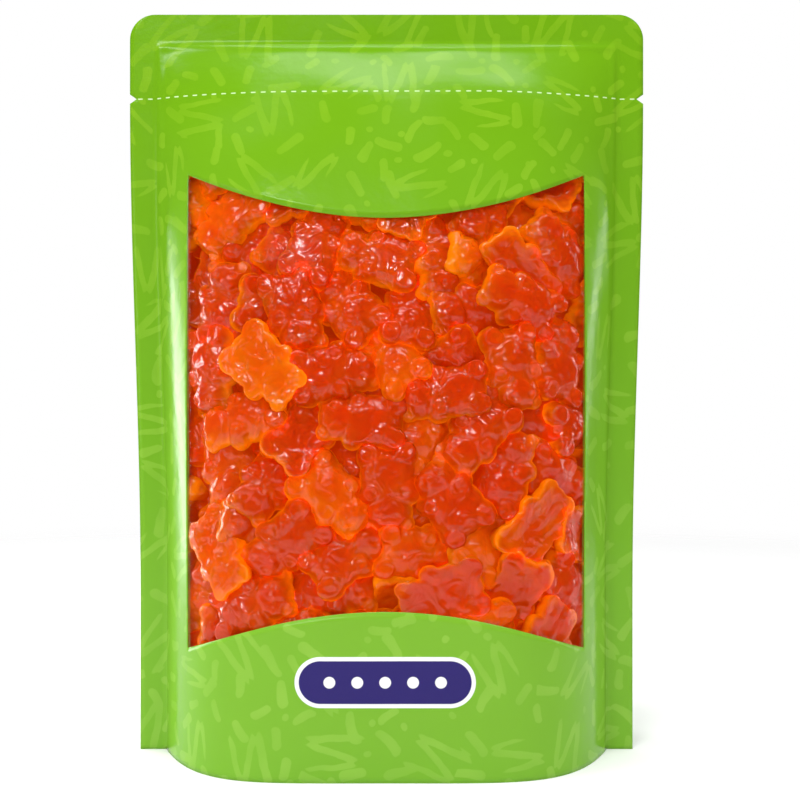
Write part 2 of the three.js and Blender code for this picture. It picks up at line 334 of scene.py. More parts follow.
class NodeGraph:
    """The node tree of a new material or world, with short ways to add nodes and sums."""

    def __init__(self, owner: bpy.types.Material | bpy.types.World) -> None:
        """Empties the owner's node tree.

        Args:
            owner: The new material or world.
        """
        self.owner = owner
        owner.use_nodes = True
        self.tree = owner.node_tree
        self.tree.nodes.clear()

    def add(self, kind: str, inputs: dict | None = None, **settings: object) -> bpy.types.Node:
        """Adds a node.

        Args:
            kind: Blender's name of the node type.
            inputs: Numbers, colours or outputs for the node's named inputs.
            **settings: Values of the node's properties.

        Returns:
            The node.
        """
        node = self.tree.nodes.new(kind)
        for name, value in settings.items():
            setattr(node, name, value)
        for name, value in (inputs or {}).items():
            self.feed(node.inputs[name], value)
        return node

    def feed(self, socket: bpy.types.NodeSocket, value: object) -> None:
        """Links an output to an input, or sets the input's own value.

        Args:
            socket: The input.
            value: An output, or a plain value.
        """
        if isinstance(value, bpy.types.NodeSocket):
            self.tree.links.new(value, socket)
        else:
            socket.default_value = value

    def result(
        self, kind: str, values: tuple, output: int | str = 0, **settings: object
    ) -> bpy.types.NodeSocket:
        """Adds a node and feeds its inputs in order.

        Args:
            kind: Blender's name of the node type.
            values: Numbers, colours or outputs for the first inputs.
            output: Number or name of the output that is wanted.
            **settings: Values of the node's properties.

        Returns:
            That output.
        """
        node = self.add(kind, **settings)
        for socket, value in zip(node.inputs, values):
            self.feed(socket, value)
        return node.outputs[output]

    def math(self, operation: str, *values: object) -> bpy.types.NodeSocket:
        """The result of a sum on numbers or outputs."""
        return self.result("ShaderNodeMath", values, operation=operation)

    def plus(self, first: object, second: object) -> bpy.types.NodeSocket:
        """The first value plus the second."""
        return self.math("ADD", first, second)

    def minus(self, first: object, second: object) -> bpy.types.NodeSocket:
        """The first value less the second."""
        return self.math("SUBTRACT", first, second)

    def times(self, first: object, second: object) -> bpy.types.NodeSocket:
        """The first value times the second."""
        return self.math("MULTIPLY", first, second)

    def hypot(self, along: object, across: object) -> bpy.types.NodeSocket:
        """The distance that two distances at right angles make."""
        return self.math("SQRT", self.plus(self.times(along, along), self.times(across, across)))

    def beyond(self, value: object, limit: object) -> bpy.types.NodeSocket:
        """How far a value lies beyond a limit to either side of zero."""
        return self.math("MAXIMUM", self.minus(self.math("ABSOLUTE", value), limit), 0.0)

    def smooth(
        self, value: object, low: float, high: float, start: float, end: float
    ) -> bpy.types.NodeSocket:
        """A smooth step from start to end as the value goes from low to high."""
        values = (value, low, high, start, end)
        return self.result("ShaderNodeMapRange", values, "Result", interpolation_type="SMOOTHSTEP")

    def inside(self, distance: object, edge: float, softness: float) -> bpy.types.NodeSocket:
        """1 where a distance is less than the edge's and 0 beyond it, with a soft edge between."""
        return self.smooth(distance, edge - softness, edge + softness, 1, 0)

    def vector(self, operation: str, *values: object) -> bpy.types.NodeSocket:
        """The result of a sum on vectors."""
        output = "Value" if operation == "LENGTH" else "Vector"
        return self.result("ShaderNodeVectorMath", values, output, operation=operation)

    def mix(self, share: object, first: object, second: object) -> bpy.types.NodeSocket:
        """Mixes two colours.

        Args:
            share: How much there is of the second, from 0 to 1.
            first: The first colour.
            second: The second colour.

        Returns:
            The mixed colour.
        """
        node = self.add("ShaderNodeMix", data_type="RGBA")
        for socket, value in zip((node.inputs[0], node.inputs[6], node.inputs[7]), (share, first, second)):
            self.feed(socket, value)
        return node.outputs[2]

    def blend(self, share: object, first: object, second: object) -> bpy.types.NodeSocket:
        """A shader between the first and the second."""
        return self.result("ShaderNodeMixShader", (share, first, second))

    def split(self, vector: bpy.types.NodeSocket) -> bpy.types.bpy_prop_collection:
        """The x, y and z outputs of a vector."""
        return self.add("ShaderNodeSeparateXYZ", {"Vector": vector}).outputs

    def noise(
        self, place: object, scale: float, detail: float = 2.0, distortion: float = 0.0
    ) -> bpy.types.NodeSocket:
        """Noise from 0 to 1 at a place."""
        inputs = {"Vector": place, "Scale": scale, "Detail": detail, "Distortion": distortion}
        return self.add("ShaderNodeTexNoise", inputs).outputs["Fac"]

    def bump(self, height: object, strength: float, distance: float) -> bpy.types.NodeSocket:
        """A normal raised by a height."""
        inputs = {"Height": height, "Strength": strength, "Distance": distance}
        return self.add("ShaderNodeBump", inputs).outputs["Normal"]

    def surface(self, shader: bpy.types.NodeSocket) -> bpy.types.Material:
        """Ends the material with this shader and returns it."""
        self.add("ShaderNodeOutputMaterial", {"Surface": shader})
        return self.owner


class Print(Enum):
    """What is printed on a web over its ground of strokes."""

    FRONT = "front"
    BACK = "back"
    FOOT = "foot"


@dataclass(frozen=True)
class Stroke:
    """One kind of brush mark scattered over the print, in millimetres.

    There is one mark to a cell. The room is what other marks leave around its middle, and the swing is how
    far it goes to and fro across its own length.
    """

    cell: float
    half_length: float
    half_width: float
    bend: float
    offset: float
    room: float
    swing: float = 0.0
    swing_period: float = 7.0


@dataclass(frozen=True)
class PrintedFilm:
    """Satin lime film, printed tone on tone with scattered brush marks, over a ground with painted light:
    lighter and milkier towards the foot, darker towards the head.
    """

    # painted light: the ground is darker towards the head as painted shade, and lighter and milkier towards
    # the foot as painted light and reflection from the floor
    shaded_head_ground: tuple = (0.136, 0.335, 0.005, 1)
    floor_lit_foot_ground: tuple = (0.172, 0.395, 0.026, 1)
    mark_gain: tuple = (1.34, 1.15, 1.9)
    dash: tuple = (0.55, 0.72, 0.34, 1)
    navy: tuple = (0.024, 0.016, 0.13, 1)
    border: tuple = (0.8, 0.8, 0.82, 1)
    roughness: float = 0.2
    gloss: float = 0.13
    strokes: tuple = (
        Stroke(19.5, 4.6, 0.96, 0.0, 37.0, room=6.4, swing=4.6),
        Stroke(9.2, 2.7, 1.1, 0.04, 0.0, room=4.3),
        Stroke(9.6, 2.3, 0.95, 0.06, 71.0, room=3.2),
        Stroke(9.4, 0.2, 0.75, 0.0, 101.0, room=2.2),
    )
    dash_period: float = 2.54
    dash_half_length: float = 0.45
    dash_half_width: float = 0.16
    badge_height: float = 23.6
    badge_half_width: float = 20.8
    badge_half_height: float = 5.9
    badge_border: float = 0.95
    dot_pitch: float = 6.4
    dot_radius: float = 1.35
    dot_count: int = 5
    mark_edge: float = 0.12
    dash_edge: float = 0.06
    badge_edge: float = 0.08
    mark_taper: float = 0.05
    mark_randomness: float = 0.5
    least_draw: float = 0.7
    draw_gain: float = 0.66
    lean_scale: float = 0.035
    lean_turns: float = 3.0
    own_lean: float = 0.9
    wobble: float = 1.1
    wobble_scale: float = 0.16
    faintest: float = 0.55
    fade_scale: float = 0.09
    haze_scale: float = 0.05
    skin_scale: float = 0.35
    skin_bump: float = 0.12

    def marks(self, graph: NodeGraph, place: object, stroke: Stroke) -> tuple[object, bpy.types.Node]:
        """Lays out the cells of one scatter, each with a mark in it.

        Args:
            graph: The material being built.
            place: The position on the film in millimetres.
            stroke: The kind of mark.

        Returns:
            The position moved to the scatter's own grid, and the node that makes the cells.
        """
        moved = graph.vector("ADD", place, (stroke.offset, stroke.offset, 0))
        inputs = {"Vector": moved, "Scale": 1 / stroke.cell, "Randomness": self.mark_randomness}
        cells = graph.add("ShaderNodeTexVoronoi", inputs, voronoi_dimensions="2D", feature="F1")
        return moved, cells

    def stroke_mask(
        self, graph: NodeGraph, place: object, stroke: Stroke, others: tuple
    ) -> bpy.types.NodeSocket:
        """One scatter of brush marks.

        Args:
            graph: The material being built.
            place: The position on the film in millimetres.
            stroke: The kind of mark.
            others: The kinds of mark to leave room for.

        Returns:
            1 on the marks and 0 off them.
        """
        moved, cells = self.marks(graph, place, stroke)
        draw = graph.split(cells.outputs["Color"])
        middle = cells.outputs["Position"]
        lean = graph.times(graph.noise(middle, self.lean_scale, 0.0), self.lean_turns * math.tau)
        angle = graph.plus(lean, graph.times(draw[0], self.own_lean))
        local = graph.vector("SUBTRACT", moved, middle)
        turn = graph.add("ShaderNodeVectorRotate", {"Vector": local, "Angle": angle}, rotation_type="Z_AXIS")
        x, y, _ = graph.split(turn.outputs[0])
        curl = graph.times(graph.minus(draw[1], 0.5), 2 * stroke.bend)
        bent = graph.minus(y, graph.times(curl, graph.times(x, x)))
        if stroke.swing:
            bent = self.swung(graph, x, bent, stroke)
        half = graph.times(graph.plus(draw[2], self.least_draw), stroke.half_length * self.draw_gain)
        distance = graph.hypot(graph.beyond(x, half), bent)
        edge = graph.minus(distance, graph.times(x, self.mark_taper * stroke.half_width))
        mask = graph.inside(edge, stroke.half_width, self.mark_edge)
        spot = graph.vector("SUBTRACT", middle, (stroke.offset, stroke.offset, 0))
        for other in others:
            mask = graph.times(mask, self.clear_of(graph, spot, other))
        return mask

    def clear_of(self, graph: NodeGraph, spot: object, other: Stroke) -> bpy.types.NodeSocket:
        """Whether a mark's middle leaves room for the nearest mark of another kind.

        Args:
            graph: The material being built.
            spot: The mark's middle on the film in millimetres.
            other: The other kind of mark.

        Returns:
            1 where it does and 0 where it doesn't.
        """
        moved, cells = self.marks(graph, spot, other)
        apart = graph.vector("LENGTH", graph.vector("SUBTRACT", moved, cells.outputs["Position"]))
        return graph.math("GREATER_THAN", apart, other.room)

    @staticmethod
    def swung(graph: NodeGraph, x: object, y: object, stroke: Stroke) -> bpy.types.NodeSocket:
        """Makes a mark swing to and fro as it goes along x.

        Args:
            graph: The material being built.
            x: The distance along the mark.
            y: The distance across the mark.
            stroke: The kind of mark.

        Returns:
            The distance across the swinging mark.
        """
        turns = math.tau / stroke.swing_period
        phase = graph.times(x, turns)
        wave = graph.times(graph.math("SINE", phase), stroke.swing)
        slope = graph.times(graph.math("COSINE", phase), stroke.swing * turns)
        return graph.math("DIVIDE", graph.minus(y, wave), graph.hypot(slope, 1.0))

    def dash_mask(self, graph: NodeGraph, u: object, v: object, shape: PouchShape) -> bpy.types.NodeSocket:
        """Draws the dashed tear line between the notches.

        Args:
            graph: The material being built.
            u: The place across the film in millimetres.
            v: The height on the film in millimetres.
            shape: The pouch, for the height of the notches.

        Returns:
            1 on the dashes and 0 off them.
        """
        phase = graph.math("WRAP", u, self.dash_period / 2, -self.dash_period / 2)
        distance = graph.hypot(graph.beyond(phase, self.dash_half_length), graph.minus(v, shape.notch_height))
        return graph.inside(distance, self.dash_half_width, self.dash_edge)

    def badge(self, graph: NodeGraph, u: object, v: object, under: object) -> bpy.types.NodeSocket:
        """Lays a plain navy pill with a white border and a row of white dots over a colour.

        Args:
            graph: The material being built.
            u: The place across the film in millimetres.
            v: The height on the film in millimetres.
            under: The colour under the badge.

        Returns:
            The colour with the badge.
        """
        up = graph.minus(v, self.badge_height)
        beyond = graph.beyond(u, self.badge_half_width - self.badge_half_height)
        edge = graph.minus(graph.hypot(beyond, up), self.badge_half_height)
        bordered = graph.mix(graph.inside(edge, 0, self.badge_edge), under, self.border)
        filled = graph.mix(graph.inside(edge, -self.badge_border, self.badge_edge), bordered, self.navy)
        phase = graph.math("WRAP", u, self.dot_pitch / 2, -self.dot_pitch / 2)
        dot = graph.inside(graph.hypot(phase, up), self.dot_radius, self.badge_edge)
        row = graph.math("LESS_THAN", graph.math("ABSOLUTE", u), self.dot_pitch * self.dot_count / 2)
        return graph.mix(graph.times(dot, row), filled, self.border)

    def brushed(
        self, graph: NodeGraph, place: bpy.types.NodeSocket, ground: bpy.types.NodeSocket
    ) -> bpy.types.NodeSocket:
        """Lays the brush marks over the ground, all slightly unsteady and here and there fainter.

        Args:
            graph: The material being built.
            place: The position on the film in millimetres.
            ground: The film's ground colour, with its painted light: lighter towards the foot and darker
                towards the head.

        Returns:
            The colour with the marks.
        """
        wobble = graph.add(
            "ShaderNodeTexNoise", {"Vector": place, "Scale": self.wobble_scale}, noise_dimensions="2D"
        )
        shift = graph.vector("SUBTRACT", wobble.outputs["Color"], (0.5, 0.5, 0.5))
        unsteady = graph.vector("MULTIPLY_ADD", shift, (self.wobble, self.wobble, 0), place)
        first, *rest = [
            self.stroke_mask(graph, unsteady, stroke, self.strokes[:min(number, 2)])
            for number, stroke in enumerate(self.strokes)
        ]
        for mark in rest:
            first = graph.math("MAXIMUM", first, mark)
        fade = graph.smooth(graph.noise(place, self.fade_scale, 1.0), 0.3, 0.7, self.faintest, 1.0)
        return graph.mix(graph.times(first, fade), ground, graph.vector("MULTIPLY", ground, self.mark_gain))

    def build(self, name: str, kind: Print, shape: PouchShape) -> bpy.types.Material:
        """Makes the material for one web.

        Args:
            name: Name of the material.
            kind: Which print the web carries.
            shape: The pouch, for the height of the tear line.

        Returns:
            The finished material.
        """
        graph = NodeGraph(bpy.data.materials.new(name))
        place = graph.add("ShaderNodeAttribute", attribute_name="film_place").outputs["Vector"]
        u, v, _ = graph.split(place)
        # painted light: the ground runs from the painted shade at the head to the painted floor light at the
        # foot
        ground = graph.mix(graph.smooth(v, 0, shape.height, 0, 1), self.floor_lit_foot_ground, self.shaded_head_ground)
        colour = self.brushed(graph, place, ground)
        if kind is not Print.FOOT:
            colour = graph.mix(self.dash_mask(graph, u, v, shape), colour, self.dash)
        if kind is Print.FRONT:
            colour = self.badge(graph, u, v, colour)
        haze = graph.noise(place, self.haze_scale, 1.0)
        inputs = {
            "Base Color": colour,
            "Roughness": graph.smooth(haze, 0.3, 0.7, self.roughness - 0.05, self.roughness + 0.06),
            "Specular IOR Level": self.gloss,
            "Normal": graph.bump(graph.noise(place, self.skin_scale), self.skin_bump, 0.6 * MM),
        }
        return graph.surface(graph.add("ShaderNodeBsdfPrincipled", inputs).outputs[0])


@dataclass(frozen=True)
class ClearFilm:
    """The window's clear film: see-through, with the gloss of its outer face."""

    roughness: float = 0.12
    index: float = 1.045

    def build(self, name: str) -> bpy.types.Material:
        """Makes the material.

        Args:
            name: Name of the material.

        Returns:
            The finished material.
        """
        graph = NodeGraph(bpy.data.materials.new(name))
        clear = graph.add("ShaderNodeBsdfTransparent", {"Color": (1, 1, 1, 1)})
        gloss = graph.add("ShaderNodeBsdfGlossy", {"Roughness": self.roughness})
        fresnel = graph.add("ShaderNodeFresnel", {"IOR": self.index})
        outer = graph.minus(1.0, graph.add("ShaderNodeNewGeometry").outputs["Backfacing"])
        share = graph.times(fresnel.outputs[0], outer)
        return graph.surface(graph.blend(share, clear.outputs[0], gloss.outputs[0]))


@dataclass(frozen=True)
class Jelly:
    """Translucent orange jelly: yellow-orange where it is thin, red where it is thick, with painted shade and
    a faint painted glow deeper in the heap and a painted glow on its thin rims.
    """

    thin: tuple = (0.89, 0.206, 0.0008, 1)
    thick: tuple = (0.76, 0.051, 0.0003, 1)
    # painted shade: the darker red that the jelly turns deeper behind the film
    painted_depth_shade: tuple = (0.44, 0.014, 0.0002, 1)
    clearness: float = 0.55
    pale_clearness: float = 0.36
    index: float = 1.33
    roughness: float = 0.2
    gloss: float = 0.05
    coat: float = 0.36
    coat_roughness: float = 0.03
    tone_share: float = 0.5
    wave: float = 0.9
    wave_scale: float = 200.0
    wave_distortion: float = 1.6
    crumple: float = 1.5
    crumple_scale: float = 400.0
    patch_scale: float = 110.0
    cloud_scale: float = 160.0
    scatter_colours: tuple = (1.0, 0.30, 0.06)
    scatter_distance: float = 3.0
    # painted glow: emission on the thin rims and, deeper behind the film, a faint dark-red emission
    painted_rim_glow: tuple = (1.0, 0.25, 0.0, 1)
    painted_rim_glow_strength: float = 0.2
    painted_depth_glow: tuple = (1.0, 0.06, 0.001, 1)
    painted_depth_glow_strength: float = 0.16

    def tones(self, graph: NodeGraph, place: bpy.types.NodeSocket) -> tuple[bpy.types.NodeSocket, ...]:
        """Reads the attribute "jelly", which holds thinness, tone and the share of painted depth shade.

        Args:
            graph: The material being built.
            place: The position on the object.

        Returns:
            The jelly's colour with its painted depth shade, the share of painted rim glow, the share of
            painted depth shade and glow, and how clear it is.
        """
        values = graph.add("ShaderNodeAttribute", attribute_name="jelly").outputs["Vector"]
        thinness, tone, depth = graph.split(values)
        cloud = graph.times(graph.minus(graph.noise(place, self.cloud_scale), 0.5), 0.5)
        share = graph.plus(graph.plus(thinness, cloud), graph.times(tone, self.tone_share))
        body = graph.mix(graph.smooth(share, -0.1, 1.0, 0, 1), self.thick, self.thin)
        # painted glow: the share of the thin rim that glows by emission
        rim = graph.smooth(thinness, 0.3, 0.95, 0, 1)
        # painted shade: how far the place lies in the painted depth shade, less so on thin rims
        painted_depth_share = graph.times(depth, graph.smooth(thinness, 0.35, 0.8, 1.0, 0.25))
        clearness = graph.smooth(tone, 0.0, 0.45, self.clearness, self.pale_clearness)
        return graph.mix(painted_depth_share, body, self.painted_depth_shade), rim, painted_depth_share, clearness

    def skin(self, graph: NodeGraph, place: bpy.types.NodeSocket) -> bpy.types.NodeSocket:
        """Makes the skin wavy all over, and crumpled in patches.

        Args:
            graph: The material being built.
            place: The position on the object.

        Returns:
            The normal of the skin.
        """
        waves = graph.noise(place, self.wave_scale, 1.0, self.wave_distortion)
        folds = graph.noise(place, self.crumple_scale, 1.0)
        patches = graph.smooth(graph.noise(place, self.patch_scale), 0.44, 0.62, 0, self.crumple)
        height = graph.plus(graph.times(waves, self.wave), graph.times(folds, patches))
        return graph.bump(height, 1.0, 0.6 * MM)

    def build(self, name: str, cloudy: bool = False) -> bpy.types.Material:
        """Makes the material.

        The thin rims get a painted glow, and the depths a faint painted dark-red glow, both by emission, in
        place of the light that would pass through the heap.

        Args:
            name: Name of the material.
            cloudy: Whether nothing shows through it.

        Returns:
            The finished material.
        """
        graph = NodeGraph(bpy.data.materials.new(name))
        place = graph.add("ShaderNodeTexCoord").outputs["Object"]
        skin = self.skin(graph, place)
        colour, rim, painted_depth_share, clearness = self.tones(graph, place)
        # painted glow: emission strength from the rims and from the depths
        painted_glow = graph.plus(graph.times(rim, self.painted_rim_glow_strength), graph.times(painted_depth_share, self.painted_depth_glow_strength))
        inputs = {
            "Base Color": colour,
            "Normal": skin,
            "Coat Normal": skin,
            "Roughness": self.roughness,
            "IOR": self.index,
            "Specular IOR Level": self.gloss,
            "Subsurface Weight": 1.0,
            "Subsurface Radius": self.scatter_colours,
            "Subsurface Scale": self.scatter_distance * MM,
            "Coat Weight": self.coat,
            "Coat Roughness": self.coat_roughness,
            "Emission Color": graph.mix(painted_depth_share, self.painted_rim_glow, self.painted_depth_glow),
            "Emission Strength": painted_glow,
        }
        if not cloudy:
            inputs["Transmission Weight"] = clearness
        shader = graph.add("ShaderNodeBsdfPrincipled", inputs, subsurface_method="BURLEY")
        return graph.surface(shader.outputs[0])


@dataclass(frozen=True)
class PaleFloor:
    """A plain white surface that fades out before it ends."""

    colour: tuple = (0.9, 0.9, 0.9, 1)
    fade_from: float = 0.35
    fade_to: float = 0.6

    def build(self, name: str) -> bpy.types.Material:
        """Makes the material.

        Args:
            name: Name of the material.

        Returns:
            The finished material.
        """
        graph = NodeGraph(bpy.data.materials.new(name))
        distance = graph.vector("LENGTH", graph.add("ShaderNodeTexCoord").outputs["Object"])
        pale = graph.add("ShaderNodeBsdfDiffuse", {"Color": self.colour}).outputs[0]
        clear = graph.add("ShaderNodeBsdfTransparent").outputs[0]
        fade = graph.smooth(distance, self.fade_from, self.fade_to, 0, 1)
        return graph.surface(graph.blend(fade, pale, clear))


# ---------------------------------------------------------------------------------------- the webs


@dataclass
class Relief:
    """Soft waves in the film, in millimetres: a seeded sum of sines."""

    seed: int
    count: int = 9
    shortest: float = 14.0
    longest: float = 46.0

    def waves(self, x: np.ndarray, z: np.ndarray) -> np.ndarray:
        """Waves of about unit height over the film.

        Args:
            x: Distances from the centre line in millimetres.
            z: Heights in millimetres.

        Returns:
            The height of the waves at each point.
        """
        random = np.random.default_rng(self.seed)
        total = np.zeros_like(x)
        for _ in range(self.count):
            angle = random.uniform(0, math.pi)
            pitch = math.tau / random.uniform(self.shortest, self.longest)
            phase = random.uniform(0, math.tau)
            total += np.sin(pitch * (x * math.cos(angle) + z * math.sin(angle)) + phase)
        return total / math.sqrt(self.count)


@dataclass
class FilmWebs:
    """The front and back webs and the clear pane, as thin sheets over the pouch's form."""

    shape: PouchShape
    window: WindowShape
    thickness: float = 0.15
    seal_offset: float = 0.17
    seal_columns: int = 5
    side_columns: int = 20
    window_columns: int = 72
    foot_rows: int = 26
    window_rows: int = 84
    shoulder_rows: int = 18
    notch_rows: int = 3
    head_rows: int = 22
    corner_rows: int = 14
    head_waves: float = 0.42
    head_from: float = 118.0
    head_rise: float = 40.0
    head_calm: float = 9.0
    belly_waves: float = 0.07
    bead: float = 0.22
    bead_place: float = 1.0
    bead_width: float = 0.8
    flat_edge: float = 6.0
    front_seed: int = 7
    back_seed: int = 19

    def columns(self, z: np.ndarray) -> np.ndarray:
        """Positions across the film along one row, from cut edge to cut edge.

        Args:
            z: The row's height at each column, in millimetres.

        Returns:
            Distances from the centre line in millimetres.
        """
        cut, free, side = self.shape.cut_half_width(z), self.shape.free_half_width(z), self.window.side(z)
        seal = np.linspace(0, 1, self.seal_columns + 1)[:-1]
        strip = np.linspace(0, 1, self.side_columns + 1)[:-1]
        pane = np.linspace(-1, 1, self.window_columns + 1)
        zones = [
            (-cut, -free, seal),
            (-free, -side, strip),
            (0 * side, side, pane),
            (side, free, 1 - strip[::-1]),
            (free, cut, 1 - seal[::-1]),
        ]
        x, first = np.empty_like(z), 0
        for start, end, share in zones:
            zone = slice(first, first + len(share))
            x[zone] = start[zone] + (end[zone] - start[zone]) * share
            first += len(share)
        return x

    def heights(self) -> list[np.ndarray]:
        """The height of every point, so that rows follow the window's foot and top.

        Returns:
            The heights in millimetres, one array for each row.
        """
        beside = self.seal_columns + self.side_columns
        level = np.ones(2 * beside + self.window_columns + 1)
        share = level.copy()
        share[beside:-beside] = np.abs(np.linspace(-1, 1, self.window_columns + 1))
        notch, opening = self.shape.notch_height, self.shape.notch_half_opening
        levels = [
            (0 * level, self.window.low(share), self.foot_rows),
            (self.window.low(share), self.window.high(share), self.window_rows),
            (self.window.high(share), (notch - opening) * level, self.shoulder_rows),
            ((notch - opening) * level, notch * level, self.notch_rows),
            (notch * level, (notch + opening) * level, self.notch_rows),
            ((notch + opening) * level, self.shape.seal_start * level, self.head_rows),
        ]
        rows = [low + (high - low) * i / n for low, high, n in levels for i in range(n)]
        corner_start = self.shape.height - self.shape.corner_radius
        rows += [self.shape.seal_start * level, corner_start * level]
        for i in range(1, self.corner_rows + 1):
            angle = math.pi / 2 * i / self.corner_rows
            rows.append((corner_start + self.shape.corner_radius * math.sin(angle)) * level)
        return rows

    def surface(self, side: int, relief: Relief) -> tuple[np.ndarray, np.ndarray]:
        """The outer face of a web.

        Args:
            side: -1 for the front and 1 for the back.
            relief: The waves in the film.

        Returns:
            Points in metres and places on the film in millimetres, both by row, column and axis.
        """
        points, places = [], []
        for z in self.heights():
            x = self.columns(z)
            reach = self.shape.reach(x, z)
            stretch = np.clip(reach / self.shape.belly_depth, 0, 1)
            inside = np.clip(1 - (np.abs(x) / self.shape.free_half_width(z)) ** self.flat_edge, 0, 1)
            below_seal = ramp(self.shape.seal_start - z, 0, self.head_calm)
            head = ramp(z, self.head_from, self.head_rise) * below_seal
            waves = relief.waves(x, z) * inside * (self.head_waves * head + self.belly_waves * stretch)
            within = np.minimum(self.shape.free_half_width(z) - np.abs(x), self.shape.seal_start - z)
            bead = self.bead * np.exp(-(((within - self.bead_place) / self.bead_width) ** 2)) * (within > 0)
            y = side * (self.seal_offset + reach + waves + bead)
            run = np.hypot(np.diff(x), np.diff(y))
            along = np.concatenate([[0], np.cumsum(run)])
            along -= along[len(along) // 2]
            points.append(np.stack([x, y, z], axis=1))
            places.append(np.stack([along, z, np.zeros_like(z)], axis=1))
        return np.array(points) * MM, np.array(places)

    def in_window(self, sheet: bpy.types.Object) -> np.ndarray:
        """Finds the faces of the front sheet that lie inside the window.

        Args:
            sheet: The front sheet.

        Returns:
            One truth value for each face.
        """
        x, _, z = (face_centres(sheet) / MM).T
        share = np.abs(x) / self.window.side(z)
        return (share < 1) & (z > self.window.low(share)) & (z < self.window.high(share))

    def build(self) -> None:
        """Makes the front panel, the window pane and the back panel."""
        film = PrintedFilm()
        points, places = self.surface(-1, Relief(self.front_seed))
        front = grid_sheet("printed_front", points, places)
        pane = grid_sheet("clear_window", points, places)
        inside = self.in_window(front)
        keep_faces(front, ~inside)
        keep_faces(pane, inside)
        points, places = self.surface(1, Relief(self.back_seed))
        back = grid_sheet("printed_back", points[:, ::-1], places[:, ::-1])
        for sheet, node, slot, finish in (
            (front, "front_panel", "printed_film", film.build("film_front", Print.FRONT, self.shape)),
            (pane, "window_pane", "clear_film", ClearFilm().build("film_clear")),
            (back, "back_panel", "printed_film", film.build("film_back", Print.BACK, self.shape)),
        ):
            thicken(sheet, self.thickness)
            sheet.data.materials.append(finish)
            settle(sheet, node)


@dataclass
class Gusset:
    """The floor of the pouch: a boat-shaped web with its fold along the middle."""

    shape: PouchShape
    middle_height: float = 4.5
    end_height: float = 24.0
    rise: float = 4.0
    fold_height: float = 1.4
    fold_half_width: float = 5.0
    thickness: float = 0.15
    drawn_in: float = 0.3
    least_depth: float = 0.05
    print_offset: float = 400.0
    columns: int = 96
    rows: int = 40

    def height(self, x: np.ndarray, y: np.ndarray) -> np.ndarray:
        """The web's height above the ground.

        Args:
            x: Distances from the centre line in millimetres.
            y: Distances from the middle plane in millimetres.

        Returns:
            Heights in millimetres.
        """
        outward = np.clip(np.abs(x) / self.shape.free_half_width(np.zeros(1)), 0, 1) ** self.rise
        fold = self.fold_height * np.clip(1 - np.abs(y) / self.fold_half_width, 0, 1) * (1 - outward)
        return self.middle_height + (self.end_height - self.middle_height) * outward + fold

    def build(self) -> None:
        """Makes the gusset's sheet from the foot of one panel to the foot of the other."""
        across = np.sin(np.linspace(-math.pi / 2, math.pi / 2, self.columns + 1))
        along = np.linspace(-1, 1, self.rows + 1)
        edge = self.shape.free_half_width(np.zeros(1)) - self.drawn_in
        x = across * edge
        top = self.height(x, np.full_like(x, self.fold_half_width))
        half_depth = np.clip(self.shape.reach(x, top) - self.drawn_in, self.least_depth, None)
        foot_depth = np.clip(self.shape.reach(x, 0 * x) - self.drawn_in, self.least_depth, None)
        lifts = (0.0, 0.25, 0.5, 0.75)
        skirt = [(foot_depth + (half_depth - foot_depth) * lift, top * lift) for lift in lifts]
        rows = [(-y, z) for y, z in skirt]
        rows += [(half_depth * t, self.height(x, half_depth * t)) for t in along]
        rows += skirt[::-1]
        points = np.array([np.stack([x, y, z], axis=1) for y, z in rows])
        places = points * (1, 1, 0) + (0, self.print_offset, 0)
        sheet = grid_sheet("gusset_web", points * MM, places)
        thicken(sheet, self.thickness)
        sheet.data.materials.append(PrintedFilm().build("film_foot", Print.FOOT, self.shape))
        settle(sheet, "bottom_gusset")


def settle(piece: bpy.types.Object, node: str) -> None:
    """Makes a piece ride on the body and stand for a node.

    Args:
        piece: The finished piece.
        node: The node that it stands for.
    """
    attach(piece, BODY)
    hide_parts(node)
    LOG.info("%s: %d faces, stands for %s", piece.name, len(piece.data.polygons), node)


# --------------------------------------------------------------------------------------- the bears


@dataclass(frozen=True)
class Lump:
    """One rounded lump of a bear: its middle and half sizes in millimetres, its tilt about x in degrees."""

    x: float
    y: float
    z: float
    width: float
    length: float
    depth: float
    tilt: float = 0.0


@dataclass(frozen=True)
class Dimple:
    """A round hollow in a bear's front, in millimetres: a negative depth stands out, and a rim rings it."""

    x: float
    y: float
    radius: float
    depth: float
    rim: float


